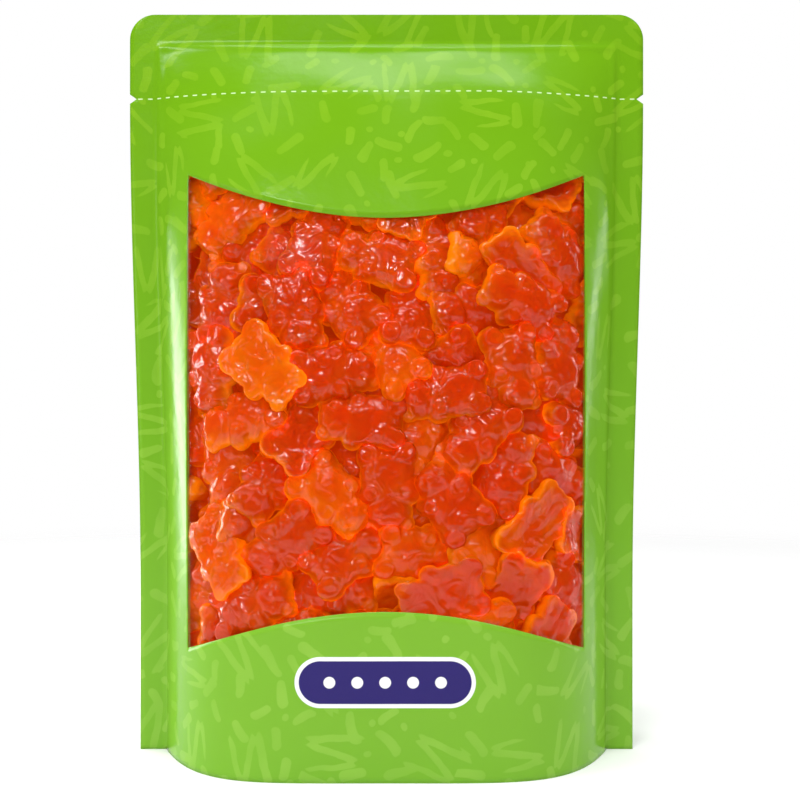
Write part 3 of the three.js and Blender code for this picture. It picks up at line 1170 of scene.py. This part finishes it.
@dataclass
class BearModel:
    """One gummy bear, lying on its flat back: x across, y from the feet to the ears, z out of its belly."""

    plumpness: float = 1.0
    head_turn: float = 0.0
    voxel: float = 0.24
    smoothing: int = 3
    faces: int = 5400
    back: float = -2.2
    dish_depth: float = 0.8
    dish_edge: float = 1.7
    back_skin: float = 0.35
    wall_from: float = 0.7
    wall_to: float = 1.4
    front_rise: float = 1.5
    ring_place: float = 1.5
    ring_width: float = 0.35
    wave_pitches: tuple = (0.9, 1.3, 1.8, 2.4)
    waviness: float = 0.084

    def lumps(self) -> list[Lump]:
        """The lumps that make the bear.

        Returns:
            The single lumps, then the paired ones on both sides.
        """
        fat, turn = self.plumpness, self.head_turn
        single = [
            Lump(0, -2.8, 0, 6.6 * fat, 7.0, 5.2),
            Lump(0, 1.6, -0.2, 6.0 * fat, 4.6, 4.6),
            Lump(0, -3.2, 2.4, 4.0 * fat, 4.0, 2.9),
            Lump(turn * 0.4, 6.2, 0, 5.4, 4.4, 4.8),
            Lump(turn, 5.2, 3.5, 2.5, 2.0, 1.8),
        ]
        paired = [
            Lump(3.6, 8.8, -0.6, 2.1, 2.1, 2.6),
            Lump(5.2 * fat, 2.1, 0, 2.1, 2.5, 3.2),
            Lump(4.2 * fat, 0.9, 2.0, 2.0, 2.7, 2.3, 14),
            Lump(4.0 * fat, -7.0, 0, 3.3, 3.6, 3.8),
            Lump(4.1 * fat, -7.7, 2.0, 2.6, 2.8, 2.7, -10),
        ]
        lean = turn * 0.3
        return single + [replace(s, x=side * s.x + lean * (s.y > 5)) for s in paired for side in (-1, 1)]

    def dimples(self) -> list[Dimple]:
        """The hollows and rings pressed into the front: eyes, nose, ears, paws, soles and navel.

        Returns:
            The single ones, then the paired ones on both sides.
        """
        turn = self.head_turn
        single = [
            Dimple(turn, 6.3, 0.75, -0.45, 0.0),
            Dimple(turn, 4.1, 0.6, 0.4, 0.0),
            Dimple(0, -4.2, 0.7, 0.5, 0.0),
        ]
        paired = [
            Dimple(1.9 + turn * 0.6, 7.3, 0.75, 0.85, 0.0),
            Dimple(3.7, 9.0, 1.0, 0.75, 0.3),
            Dimple(4.1, 1.6, 1.0, 0.5, 0.35),
            Dimple(4.1, -7.9, 1.35, 0.6, 0.45),
        ]
        return single + [
            replace(d, x=side * d.x + (turn * 0.4 if d.y > 5 and side < 0 else 0))
            for d in paired
            for side in (-1, 1)
        ]

    def add_lump(self, lump: Lump) -> bpy.types.Object:
        """Adds one lump as a sphere drawn out to its half sizes.

        Args:
            lump: The lump to add.

        Returns:
            The new object.
        """
        deselect_all()
        bpy.ops.mesh.primitive_uv_sphere_add(
            segments=28,
            ring_count=18,
            radius=1.0,
            location=(lump.x, lump.y, lump.z),
            rotation=(math.radians(lump.tilt), 0, 0),
            scale=(lump.width, lump.length, lump.depth),
        )
        return bpy.context.object

    def build(self, name: str) -> bpy.types.Object:
        """Joins the lumps, melts them together, and cuts the back flat.

        Args:
            name: Name of the new object.

        Returns:
            The bear in millimetres, at the origin.
        """
        parts = [self.add_lump(lump) for lump in self.lumps()]
        deselect_all()
        for part in parts:
            part.select_set(True)
        bpy.context.view_layer.objects.active = parts[0]
        bpy.ops.object.join()
        bear = bpy.context.object
        bear.name = bear.data.name = name
        bpy.ops.object.transform_apply(location=True, rotation=True, scale=True)
        apply_modifier(bear, "REMESH", mode="VOXEL", voxel_size=self.voxel, adaptivity=0.0)
        apply_modifier(bear, "SMOOTH", factor=0.6, iterations=self.smoothing)
        make_active(bear)
        bpy.ops.object.mode_set(mode="EDIT")
        bpy.ops.mesh.select_all(action="SELECT")
        bpy.ops.mesh.bisect(
            plane_co=(0, 0, self.back), plane_no=(0, 0, -1), use_fill=True, clear_outer=True
        )
        bpy.ops.object.mode_set(mode="OBJECT")
        apply_modifier(bear, "REMESH", mode="VOXEL", voxel_size=self.voxel, adaptivity=0.0)
        apply_modifier(bear, "SMOOTH", factor=0.5, iterations=3)
        self.press_face(bear)
        self.dish_back(bear)
        faces = sum(len(p.vertices) - 2 for p in bear.data.polygons)
        apply_modifier(bear, "DECIMATE", ratio=min(1.0, self.faces / faces))
        shade_smooth(bear)
        return bear

    def press_face(self, bear: bpy.types.Object) -> None:
        """Presses the dimples into the front and gives the skin its slight unevenness.

        Args:
            bear: The bear to change.
        """
        co = points_of(bear)
        front = ramp(co[:, 2], 0, self.front_rise)
        for dimple in self.dimples():
            away = np.hypot(co[:, 0] - dimple.x, co[:, 1] - dimple.y) / dimple.radius
            ring = np.exp(-(((away - self.ring_place) / self.ring_width) ** 2))
            co[:, 2] -= front * (dimple.depth * np.exp(-(away**2)) - dimple.rim * ring)
        random = np.random.default_rng(int(100 * self.plumpness))
        for pitch in self.wave_pitches:
            way = random.normal(size=3)
            way *= pitch / np.linalg.norm(way)
            push = random.normal(size=3)
            push *= self.waviness / np.linalg.norm(push)
            co += np.sin(co @ way + random.uniform(0, math.tau))[:, None] * push
        move_points(bear, co)

    def dish_back(self, bear: bpy.types.Object) -> None:
        """Hollows the flat back slightly inside its rim.

        Args:
            bear: The bear to change.
        """
        co = points_of(bear)
        above = co[:, 2] - self.back
        flat = above < self.back_skin
        wall = co[(above > self.wall_from) & (above < self.wall_to)][:, :2]
        apart = np.linalg.norm(co[flat][:, None, :2] - wall[None], axis=2).min(axis=1)
        co[flat, 2] += self.dish_depth * (1 - np.exp(-((apart / self.dish_edge) ** 2)))
        move_points(bear, co)


@dataclass(frozen=True)
class Layer:
    """One layer of bears as first laid.

    It holds its depth behind the film and the pitch of its grid in millimetres, how far the bears are tilted
    out of the film's plane, and how strongly the film turns them flat.
    """

    depth: float
    column_pitch: float
    row_pitch: float
    tilt: float
    flattening: float


@dataclass
class Packing:
    """Presses loose bears against the film until they lie close together without crossing.

    Each bear is stood for by a cluster of balls. Every round pulls the bears towards the film and downwards,
    then pushes apart the balls that overlap and turns each bear by the sum of the pushes on it.
    """

    shape: PouchShape
    seed: int = 5
    layers: tuple = (
        Layer(4.8, 14.6, 14.0, 0.65, 0.02),
        Layer(11.4, 14.6, 14.0, 0.6, 0.03),
        Layer(17.8, 16.5, 16.0, 0.6, 0.03),
    )
    lowest: float = 18.0
    highest: float = 158.0
    half_width: float = 54.5
    side_room: float = 6.4
    foot_room: float = 8.0
    top_room: float = 2.0
    shake: float = 3.0
    rounds: int = 240
    look_again: int = 8
    near: float = 25.0
    pull: float = 0.16
    sink: float = 0.25
    most_spin: float = 0.12
    clearance: float = 0.2
    softness: float = 0.88
    belly_out_share: float = 0.85
    balls: tuple = (
        (0, -3.2, 1.2, 3.6),
        (2.9, -2.6, 0.8, 3.0),
        (-2.9, -2.6, 0.8, 3.0),
        (0, 1.4, 1.0, 3.3),
        (3.0, 1.2, 0.6, 2.8),
        (-3.0, 1.2, 0.6, 2.8),
        (0, -3.2, 3.0, 2.4),
        (0, 6.3, 0.9, 3.3),
        (2.4, 6.2, 0.5, 2.8),
        (-2.4, 6.2, 0.5, 2.8),
        (0, 5.3, 3.4, 1.8),
        (3.6, 8.7, 0.1, 2.0),
        (-3.6, 8.7, 0.1, 2.0),
        (5.0, 1.8, 0.2, 2.2),
        (-5.0, 1.8, 0.2, 2.2),
        (4.2, 0.9, 2.3, 2.0),
        (-4.2, 0.9, 2.3, 2.0),
        (3.9, -7.0, 0.7, 3.0),
        (-3.9, -7.0, 0.7, 3.0),
        (4.1, -7.7, 2.4, 2.4),
        (-4.1, -7.7, 2.4, 2.4),
    )

    def start(self) -> tuple[np.ndarray, np.ndarray, np.ndarray]:
        """Places the bears on shaken grids at several depths.

        Returns:
            The middle of each bear in millimetres, its turning matrix, and how strongly it is turned flat.
        """
        random = np.random.default_rng(self.seed)
        middles, turns, flattening = [], [], []
        for number, layer in enumerate(self.layers):
            for row in range(int((self.highest - self.lowest) / layer.row_pitch) + 1):
                shift = ((row + number) % 2) * 0.5
                count = int(self.half_width / layer.column_pitch) + 1
                for column in range(-count, count + 1):
                    x = (column + shift) * layer.column_pitch + random.uniform(-self.shake, self.shake)
                    z = self.lowest + row * layer.row_pitch + random.uniform(-self.shake, self.shake)
                    roll = random.uniform(0, math.tau)
                    nod, sway = random.normal(0, layer.tilt), random.normal(0, layer.tilt)
                    flip = random.uniform() > self.belly_out_share
                    if abs(x) <= self.half_width:
                        y = -float(self.shape.reach(np.array(x), np.array(z))) + layer.depth
                        middles.append((x, y, z))
                        turns.append(self.turning(roll, nod, sway, flip))
                        flattening.append(layer.flattening)
        return np.array(middles), np.array(turns), np.array(flattening)

    @staticmethod
    def turning(roll: float, nod: float, sway: float, flip: bool) -> np.ndarray:
        """The matrix that stands a bear up in its own way.

        Args:
            roll: Its turn in the film's plane, in radians.
            nod: Its tilt about its own width, in radians.
            sway: Its tilt about its own length, in radians.
            flip: Whether its back is to the film.

        Returns:
            The turning matrix.
        """
        c, s = math.cos(roll), math.sin(roll)
        rolled = np.array([[c, -s, 0], [s, c, 0], [0, 0, 1.0]])
        c, s = math.cos(nod), math.sin(nod)
        nodded = np.array([[1, 0, 0], [0, c, -s], [0, s, c]])
        c, s = math.cos(sway), math.sin(sway)
        swayed = np.array([[c, 0, s], [0, 1, 0], [-s, 0, c]])
        over = np.diag([-1.0, 1.0, -1.0]) if flip else np.eye(3)
        facing = np.array([[1, 0, 0], [0, 0, -1], [0, 1, 0.0]])
        return facing @ swayed @ nodded @ rolled @ over

    @staticmethod
    def small_turn(spin: np.ndarray) -> np.ndarray:
        """Turning matrices for small spins, one for each row.

        Args:
            spin: Axis times angle in radians, one row for each bear.

        Returns:
            One matrix for each row.
        """
        angle = np.linalg.norm(spin, axis=1)
        axis = spin / np.maximum(angle, 1e-9)[:, None]
        x, y, z = axis.T
        zero = np.zeros_like(x)
        cross = np.stack([zero, -z, y, z, zero, -x, -y, x, zero], axis=1).reshape(-1, 3, 3)
        sin, cos = np.sin(angle)[:, None, None], np.cos(angle)[:, None, None]
        return np.eye(3) + sin * cross + (1 - cos) * (cross @ cross)

    def neighbours(self, middles: np.ndarray) -> tuple[np.ndarray, np.ndarray]:
        """Finds the pairs of bears near enough to touch.

        Args:
            middles: The middle of each bear in millimetres.

        Returns:
            The first and the second bear of each pair.
        """
        apart = np.linalg.norm(middles[:, None] - middles[None], axis=2)
        first, second = np.nonzero(np.triu(apart < self.near, 1))
        return first, second

    def run(self) -> tuple[np.ndarray, np.ndarray]:
        """Packs the bears.

        Returns:
            The middle of each bear in millimetres, and its turning matrix.
        """
        middles, turns, flattening = self.start()
        local = np.array(self.balls)[:, :3]
        radius = np.array(self.balls)[:, 3] * self.softness
        spread = float((local**2).sum())
        first = second = np.zeros(0, int)
        for step in range(self.rounds):
            ease = 1 - step / self.rounds
            middles[:, 1] -= self.pull * ease
            middles[:, 2] -= self.sink * self.pull * ease
            if step % self.look_again == 0:
                first, second = self.neighbours(middles)
            arms = np.einsum("nij,kj->nki", turns, local)
            push = self.contact_push(middles[:, None] + arms, radius, first, second)
            push += self.film_push(middles[:, None] + arms, radius)
            touched = np.maximum((np.abs(push).sum(axis=2) > 0).sum(axis=1), 1)[:, None]
            middles += push.sum(axis=1) / touched
            limit = self.shape.free_half_width(middles[:, 2]) - self.side_room
            middles[:, 0] = np.clip(middles[:, 0], -limit, limit)
            spin = np.cross(arms, push).sum(axis=1) / spread * len(radius) / touched
            size = np.linalg.norm(spin, axis=1, keepdims=True)
            spin *= np.minimum(1, self.most_spin / np.maximum(size, 1e-9))
            spin += self.flat_spin(middles, turns) * flattening[:, None]
            turns = self.small_turn(spin) @ turns
        crossing = self.deepest(middles, turns, local, radius)
        LOG.info("packed %d bears, deepest crossing %.2f mm", len(middles), crossing)
        return middles, turns

    def flat_spin(self, middles: np.ndarray, turns: np.ndarray) -> np.ndarray:
        """The spin that would lay each bear's back along the film beside it.

        Args:
            middles: The middle of each bear in millimetres.
            turns: The turning matrix of each bear.

        Returns:
            Axis times angle in radians, one row for each bear.
        """
        along_x, along_z = self.shape.slope(middles[:, 0], middles[:, 2])
        normal = np.stack([along_x, np.ones_like(along_x), along_z], axis=1)
        normal /= np.linalg.norm(normal, axis=1, keepdims=True)
        facing = turns[:, :, 2]
        side = np.sign((facing * normal).sum(axis=1, keepdims=True))
        return np.cross(facing, side * normal)

    def past_back(self, middles: np.ndarray, turns: np.ndarray) -> np.ndarray:
        """How far each bear would pass the back film, where the pouch is too thin for it.

        Args:
            middles: The middle of each bear in millimetres.
            turns: The turning matrix of each bear.

        Returns:
            One distance in millimetres for each bear, negative where it stays inside.
        """
        balls = np.array(self.balls)
        places = middles[:, None] + np.einsum("nij,kj->nki", turns, balls[:, :3])
        reach = self.shape.reach(places[..., 0], places[..., 2])
        return (places[..., 1] + balls[:, 3] - reach).max(axis=1)

    def deepest(
        self, middles: np.ndarray, turns: np.ndarray, local: np.ndarray, radius: np.ndarray
    ) -> float:
        """The deepest crossing of two balls of different bears.

        Args:
            middles: The middle of each bear in millimetres.
            turns: The turning matrix of each bear.
            local: The middles of one bear's balls, in its own axes.
            radius: The radius of each ball.

        Returns:
            The depth in millimetres.
        """
        first, second = self.neighbours(middles)
        balls = middles[:, None] + np.einsum("nij,kj->nki", turns, local)
        gap = np.linalg.norm(balls[first][:, :, None] - balls[second][:, None], axis=3)
        return float((radius[:, None] + radius[None] - gap).max())

    def contact_push(
        self, balls: np.ndarray, radius: np.ndarray, first: np.ndarray, second: np.ndarray
    ) -> np.ndarray:
        """Pushes apart the balls that overlap, each by half the overlap.

        Args:
            balls: The middle of each bear's balls in millimetres.
            radius: The radius of each ball.
            first: One bear of each pair that may touch.
            second: The other bear of the pair.

        Returns:
            The push on each ball.
        """
        offset = balls[first][:, :, None] - balls[second][:, None]
        gap = np.linalg.norm(offset, axis=3)
        overlap = np.clip(radius[:, None] + radius[None] - gap, 0, None)
        force = offset * (0.5 * overlap / np.maximum(gap, 1e-6))[..., None]
        push = np.zeros_like(balls)
        np.add.at(push, first, force.sum(axis=2))
        np.add.at(push, second, -force.sum(axis=1))
        return push

    def film_push(self, balls: np.ndarray, radius: np.ndarray) -> np.ndarray:
        """Keeps every ball inside the film and between the lowest and highest level.

        Args:
            balls: The middle of each bear's balls in millimetres.
            radius: The radius of each ball.

        Returns:
            The push on each ball.
        """
        x, y, z = balls[..., 0], balls[..., 1], balls[..., 2]
        along_x, along_z = self.shape.slope(x, z)
        steep = np.sqrt(1 + along_x**2 + along_z**2)
        inside = (y + self.shape.reach(x, z)) / steep
        short = np.clip(radius + self.clearance - inside, 0, None)
        normal = np.stack([along_x, np.ones_like(x), along_z], axis=2) / steep[..., None]
        push = normal * short[..., None]
        push[..., 2] += np.clip(self.lowest - self.foot_room + radius - z, 0, None)
        push[..., 2] -= np.clip(z + radius - self.highest - self.top_room, 0, None)
        return push


@dataclass(frozen=True)
class Band:
    """One piece of the heap.

    It holds its name, the depths behind the film and the heights that it covers in millimetres, and the faces
    of each bear in it.
    """

    name: str
    nearest: float
    farthest: float
    lowest: float
    highest: float
    faces: int


@dataclass
class Heap:
    """The bears that show behind the window, and the core that fills the bag behind them."""

    shape: PouchShape
    window: WindowShape
    fill_height: float = 162.0
    clearance: float = 0.6
    side_clearance: float = 1.4
    recess: float = 17.0
    core_columns: int = 73
    core_levels: int = 90
    core_foot: float = 5.5
    core_least: float = 0.2
    core_depth: float = 12.0
    core_wall: float = 1.0
    edge_room: float = 1.2
    floor_room: float = 1.0
    first_layer: float = 8.0
    squeeze: float = 5.0
    film_room: float = 0.2
    least_room: float = 0.05
    press_rounds: int = 3
    head_room: float = 1.1
    head_from: float = 112.0
    head_rise: float = 30.0
    # painted shade: depths behind the film over which the jelly takes on its painted depth shade and glow
    shade_from: float = 3.0
    shade_over: float = 9.0
    least_size: float = 0.97
    size_spread: float = 0.06
    skew: float = 0.16
    tone_spread: float = 0.8
    tone_start: float = -0.12
    tone_across: float = 0.0022
    core_beside: float = 7.0
    core_beyond: float = 9.0
    core_step: float = 5.0
    bands: tuple = (
        Band("bears_near_low", -10.0, 7.5, 0.0, 88.0, 4800),
        Band("bears_near_high", -10.0, 7.5, 88.0, 200.0, 4800),
        Band("bears_behind", 7.5, 14.0, 0.0, 200.0, 2000),
        Band("bears_deep", 14.0, 60.0, 0.0, 200.0, 900),
    )
    seed: int = 11

    @staticmethod
    def models(faces: int) -> list[bpy.types.Object]:
        """Makes the few different bears that are copied.

        Args:
            faces: Faces of each bear.

        Returns:
            The bears, in millimetres.
        """
        return [
            BearModel(faces=faces).build("bear_plain"),
            BearModel(faces=faces, plumpness=1.05, head_turn=0.9).build("bear_plump"),
            BearModel(faces=faces, plumpness=0.95, head_turn=-0.8).build("bear_slim"),
        ]

    @staticmethod
    def thinness(model: bpy.types.Object, full: float = 6.5) -> np.ndarray:
        """How thin the bear is from belly to back.

        Args:
            model: The bear, in millimetres.
            full: The thickness that counts as thick.

        Returns:
            One number for each vertex, from 1 at the outline to 0 through the belly.
        """
        tree = BVHTree.FromObject(model, bpy.context.evaluated_depsgraph_get())
        through = np.zeros(len(model.data.vertices))
        for i, (x, y, _) in enumerate(points_of(model)):
            top = tree.ray_cast(Vector((x, y, 20)), Vector((0, 0, -1)))[0]
            low = tree.ray_cast(Vector((x, y, -20)), Vector((0, 0, 1)))[0]
            if top and low:
                through[i] = top.z - low.z
        return np.clip(1 - through / full, 0, 1)

    def place_copies(
        self, name: str, chosen: np.ndarray, faces: int, middles: np.ndarray, turns: np.ndarray
    ) -> bpy.types.Object:
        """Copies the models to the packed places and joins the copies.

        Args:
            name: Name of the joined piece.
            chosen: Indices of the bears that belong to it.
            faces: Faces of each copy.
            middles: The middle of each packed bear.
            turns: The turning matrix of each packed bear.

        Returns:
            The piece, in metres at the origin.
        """
        draws = np.random.default_rng(self.seed).uniform(size=(len(middles), 6))
        models = self.models(faces)
        thinness = [self.thinness(model) for model in models]
        copies = []
        for i in chosen:
            kind = int(draws[i, 0] * len(models))
            model = models[kind]
            copy = bpy.data.objects.new(f"{name}_{i}", model.data.copy())
            bpy.context.scene.collection.objects.link(copy)
            co = points_of(model) * (self.least_size + self.size_spread * draws[i, 1:4])
            co[:, 0] += (draws[i, 4] - 0.5) * self.skew * co[:, 1]
            world = co @ turns[i].T + middles[i]
            depth = self.press_in(world)
            move_points(copy, world * MM)
            # painted shade: how deep each point lies, stored for the jelly's painted depth shade and glow
            shade = ramp(depth, self.shade_from, self.shade_over)
            tone = self.tone_start + self.tone_spread * draws[i, 5] ** 3 - world[:, 0] * self.tone_across
            set_vectors(copy, "jelly", np.stack([thinness[kind], tone, shade], axis=1))
            copies.append(copy)
        deselect_all()
        for copy in copies:
            copy.select_set(True)
        bpy.context.view_layer.objects.active = copies[0]
        bpy.ops.object.join()
        piece = bpy.context.object
        piece.name = piece.data.name = name
        shade_smooth(piece)
        for model in models:
            bpy.data.objects.remove(model)
        return piece

    def press_in(self, world: np.ndarray) -> np.ndarray:
        """Moves the points that would pass the front or back film or the gusset back inside them.

        Args:
            world: Positions in millimetres, changed in place.

        Returns:
            How far each point then lies behind the front film.
        """
        floor = Gusset(self.shape).height(world[:, 0], world[:, 1]) + self.floor_room
        world[:, 2] = np.maximum(world[:, 2], floor)
        slack = self.film_room + self.head_room * ramp(world[:, 2], self.head_from, self.head_rise)
        for _ in range(self.press_rounds):
            for inward in (1, -1):
                along_x, along_z = self.shape.slope(world[:, 0], world[:, 2])
                normal = np.stack([along_x, np.full_like(along_x, inward), along_z], axis=1)
                within = inward * world[:, 1] + self.shape.reach(world[:, 0], world[:, 2])
                short = np.clip(slack - within, 0, None)
                world += normal * (short / (normal**2).sum(axis=1))[:, None]
        limit = self.shape.free_half_width(world[:, 2]) - self.edge_room
        world[:, 0] = np.clip(world[:, 0], -limit, limit)
        reach = self.shape.reach(world[:, 0], world[:, 2])
        room = np.clip(reach - slack, self.least_room, None)
        world[:, 1] = np.clip(world[:, 1], -room, room)
        return world[:, 1] + reach

    def core(self) -> bpy.types.Object:
        """Makes the rest of the heap: a closed body inside the film, set back behind the window.

        Returns:
            The core, in metres at the origin.
        """
        across = np.sin(np.linspace(-math.pi / 2, math.pi / 2, self.core_columns))
        levels = np.linspace(self.core_foot, self.fill_height, self.core_levels)
        gusset = Gusset(self.shape)
        faces = []
        for side in (-1, 1):
            rows = []
            for z in levels:
                height = np.full_like(across, z)
                x = across * (self.shape.free_half_width(height) - self.side_clearance)
                height = np.maximum(height, gusset.height(x, np.zeros_like(x)) + self.clearance)
                reach = np.clip(self.shape.reach(x, height) - self.clearance, self.core_least, None)
                if side < 0:
                    share = np.abs(x) / self.window.side(height)
                    edge = np.minimum.reduce([
                        self.window.side(height) + self.core_beside - np.abs(x),
                        height - (self.window.low(share) - self.core_beyond),
                        self.window.high(share) + self.core_beyond - height,
                    ])
                    cut = self.recess * ramp(edge, 0, self.core_step)
                    deepest = np.minimum(self.core_depth, reach - self.core_wall)
                    reach = np.maximum(reach - cut, np.minimum(reach, -deepest))
                rows.append(np.stack([x, side * reach, height], axis=1))
            faces.append(np.array(rows))
        front, back = faces
        ring = np.concatenate([front, back[:, ::-1][:, 1:-1]], axis=1)
        return self.closed_stack("heap_core", ring * MM)

    @staticmethod
    def closed_stack(name: str, rings: np.ndarray) -> bpy.types.Object:
        """A closed body through rings of points, one above the other.

        Args:
            name: Name of the new object.
            rings: Positions by level, place in the ring and axis.

        Returns:
            The new object.
        """
        levels, count = rings.shape[:2]
        faces = [
            (r + i, r + (i + 1) % count, r + count + (i + 1) % count, r + count + i)
            for r in range(0, (levels - 1) * count, count)
            for i in range(count)
        ]
        faces += [tuple(range(count))[::-1], tuple(range((levels - 1) * count, levels * count))]
        mesh = bpy.data.meshes.new(name)
        mesh.from_pydata(rings.reshape(-1, 3).tolist(), [], faces)
        body = bpy.data.objects.new(name, mesh)
        bpy.context.scene.collection.objects.link(body)
        shade_smooth(body)
        return body

    def build(self) -> None:
        """Makes the bears and the core, and gives them their finish."""
        packing = Packing(self.shape)
        middles, turns = packing.run()
        depth = middles[:, 1] + self.shape.reach(middles[:, 0], middles[:, 2])
        fits = (depth < self.first_layer) | (packing.past_back(middles, turns) < self.squeeze)
        jelly = Jelly()
        clear, milky = jelly.build("jelly"), jelly.build("jelly_behind", cloudy=True)
        pieces = []
        for band in self.bands:
            level = (middles[:, 2] >= band.lowest) & (middles[:, 2] < band.highest)
            chosen = np.nonzero((depth >= band.nearest) & (depth < band.farthest) & level & fits)[0]
            piece = self.place_copies(band.name, chosen, band.faces, middles, turns)
            pieces.append((piece, clear))
        core = self.core()
        # painted shade: the core gets the full painted depth shade and glow
        set_vectors(core, "jelly", np.tile((0.0, 0.0, 1.0), (len(core.data.vertices), 1)))
        pieces.append((core, milky))
        for piece, finish in pieces:
            piece.data.materials.clear()
            piece.data.materials.append(finish)
            settle(piece, "gummy_bears")


# -------------------------------------------------------------------------------------- the studio


@dataclass(frozen=True)
class Softbox:
    """A soft area light: where it stands, where it points, its size in metres and its power in watts."""

    name: str
    place: tuple
    aim: tuple
    width: float
    height: float
    power: float


@dataclass
class Studio:
    """The white room: camera, lights, world and floor."""

    distance: float = 0.312
    eye_height: float = 0.0884
    sideways: float = 0.0034
    focal_length: float = 55.4
    glow: float = 0.67
    reflected_glow: float = 0.05
    softboxes: tuple = (
        Softbox("overhead", (0.0, -0.13, 0.75), (0, 0, 0.1), 1.0, 0.11, 3.6),
        Softbox("front", (-0.2, -0.74, 0.58), (0, 0, 0.09), 0.18, 0.1, 1.8),
        Softbox("front_left", (-0.33, -0.66, 0.56), (0, 0, 0.09), 0.1, 0.1, 1.2),
        Softbox("side", (-0.5, -0.3, 0.15), (0, 0, 0.09), 0.1, 0.2, 0.3),
        Softbox("left_strip", (-0.44, 0.22, 0.12), (0, 0, 0.1), 0.12, 0.5, 2.0),
        Softbox("right_strip", (0.45, 0.15, 0.12), (0, 0, 0.1), 0.04, 0.5, 0.55),
    )

    def camera(self) -> None:
        """Sets the camera in front of the window, level with the pouch's waist."""
        data = bpy.data.cameras.new("camera")
        data.lens = self.focal_length
        camera = bpy.data.objects.new("camera", data)
        bpy.context.scene.collection.objects.link(camera)
        camera.location = (self.sideways, -self.distance, self.eye_height)
        camera.rotation_euler = (math.pi / 2, 0, 0)
        bpy.context.scene.camera = camera

    def lights(self) -> None:
        """Hangs the softboxes."""
        for box in self.softboxes:
            data = bpy.data.lights.new(box.name, "AREA")
            data.shape = "RECTANGLE"
            data.size, data.size_y = box.width, box.height
            data.energy = box.power
            lamp = bpy.data.objects.new(box.name, data)
            bpy.context.scene.collection.objects.link(lamp)
            lamp.location = box.place
            lamp.rotation_euler = (Vector(box.aim) - Vector(box.place)).to_track_quat("-Z", "Y").to_euler()

    def world(self) -> None:
        """Makes the room white to look at, softly bright as a light, and dim in reflections."""
        world = bpy.data.worlds.new("white_room")
        bpy.context.scene.world = world
        graph = NodeGraph(world)
        path = graph.add("ShaderNodeLightPath")
        lit, reflected, seen = (
            graph.add("ShaderNodeBackground", {"Color": (1, 1, 1, 1), "Strength": strength}).outputs[0]
            for strength in (self.glow, self.reflected_glow, 1.0)
        )
        lit = graph.blend(path.outputs["Is Glossy Ray"], lit, reflected)
        lit = graph.blend(path.outputs["Is Camera Ray"], lit, seen)
        graph.add("ShaderNodeOutputWorld", {"Surface": lit})

    def floor(self) -> None:
        """Lays the pale floor."""
        deselect_all()
        bpy.ops.mesh.primitive_circle_add(vertices=96, radius=0.6, fill_type="NGON", location=(0, 0, 0))
        floor = bpy.context.object
        floor.name = floor.data.name = "floor"
        floor.data.materials.append(PaleFloor().build("floor_white"))

    def build(self) -> None:
        """Sets up the whole studio."""
        self.camera()
        self.lights()
        self.world()
        self.floor()
        bpy.context.scene.view_settings.view_transform = "Standard"
        bpy.context.scene.view_settings.look = "None"


def main() -> None:
    """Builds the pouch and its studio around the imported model."""
    logging.basicConfig(level=logging.INFO, format="%(name)s: %(message)s")
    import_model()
    shape, window = PouchShape(), WindowShape()
    Studio().build()
    FilmWebs(shape, window).build()
    Gusset(shape).build()
    Heap(shape, window).build()


if __name__ == "__main__":
    main()
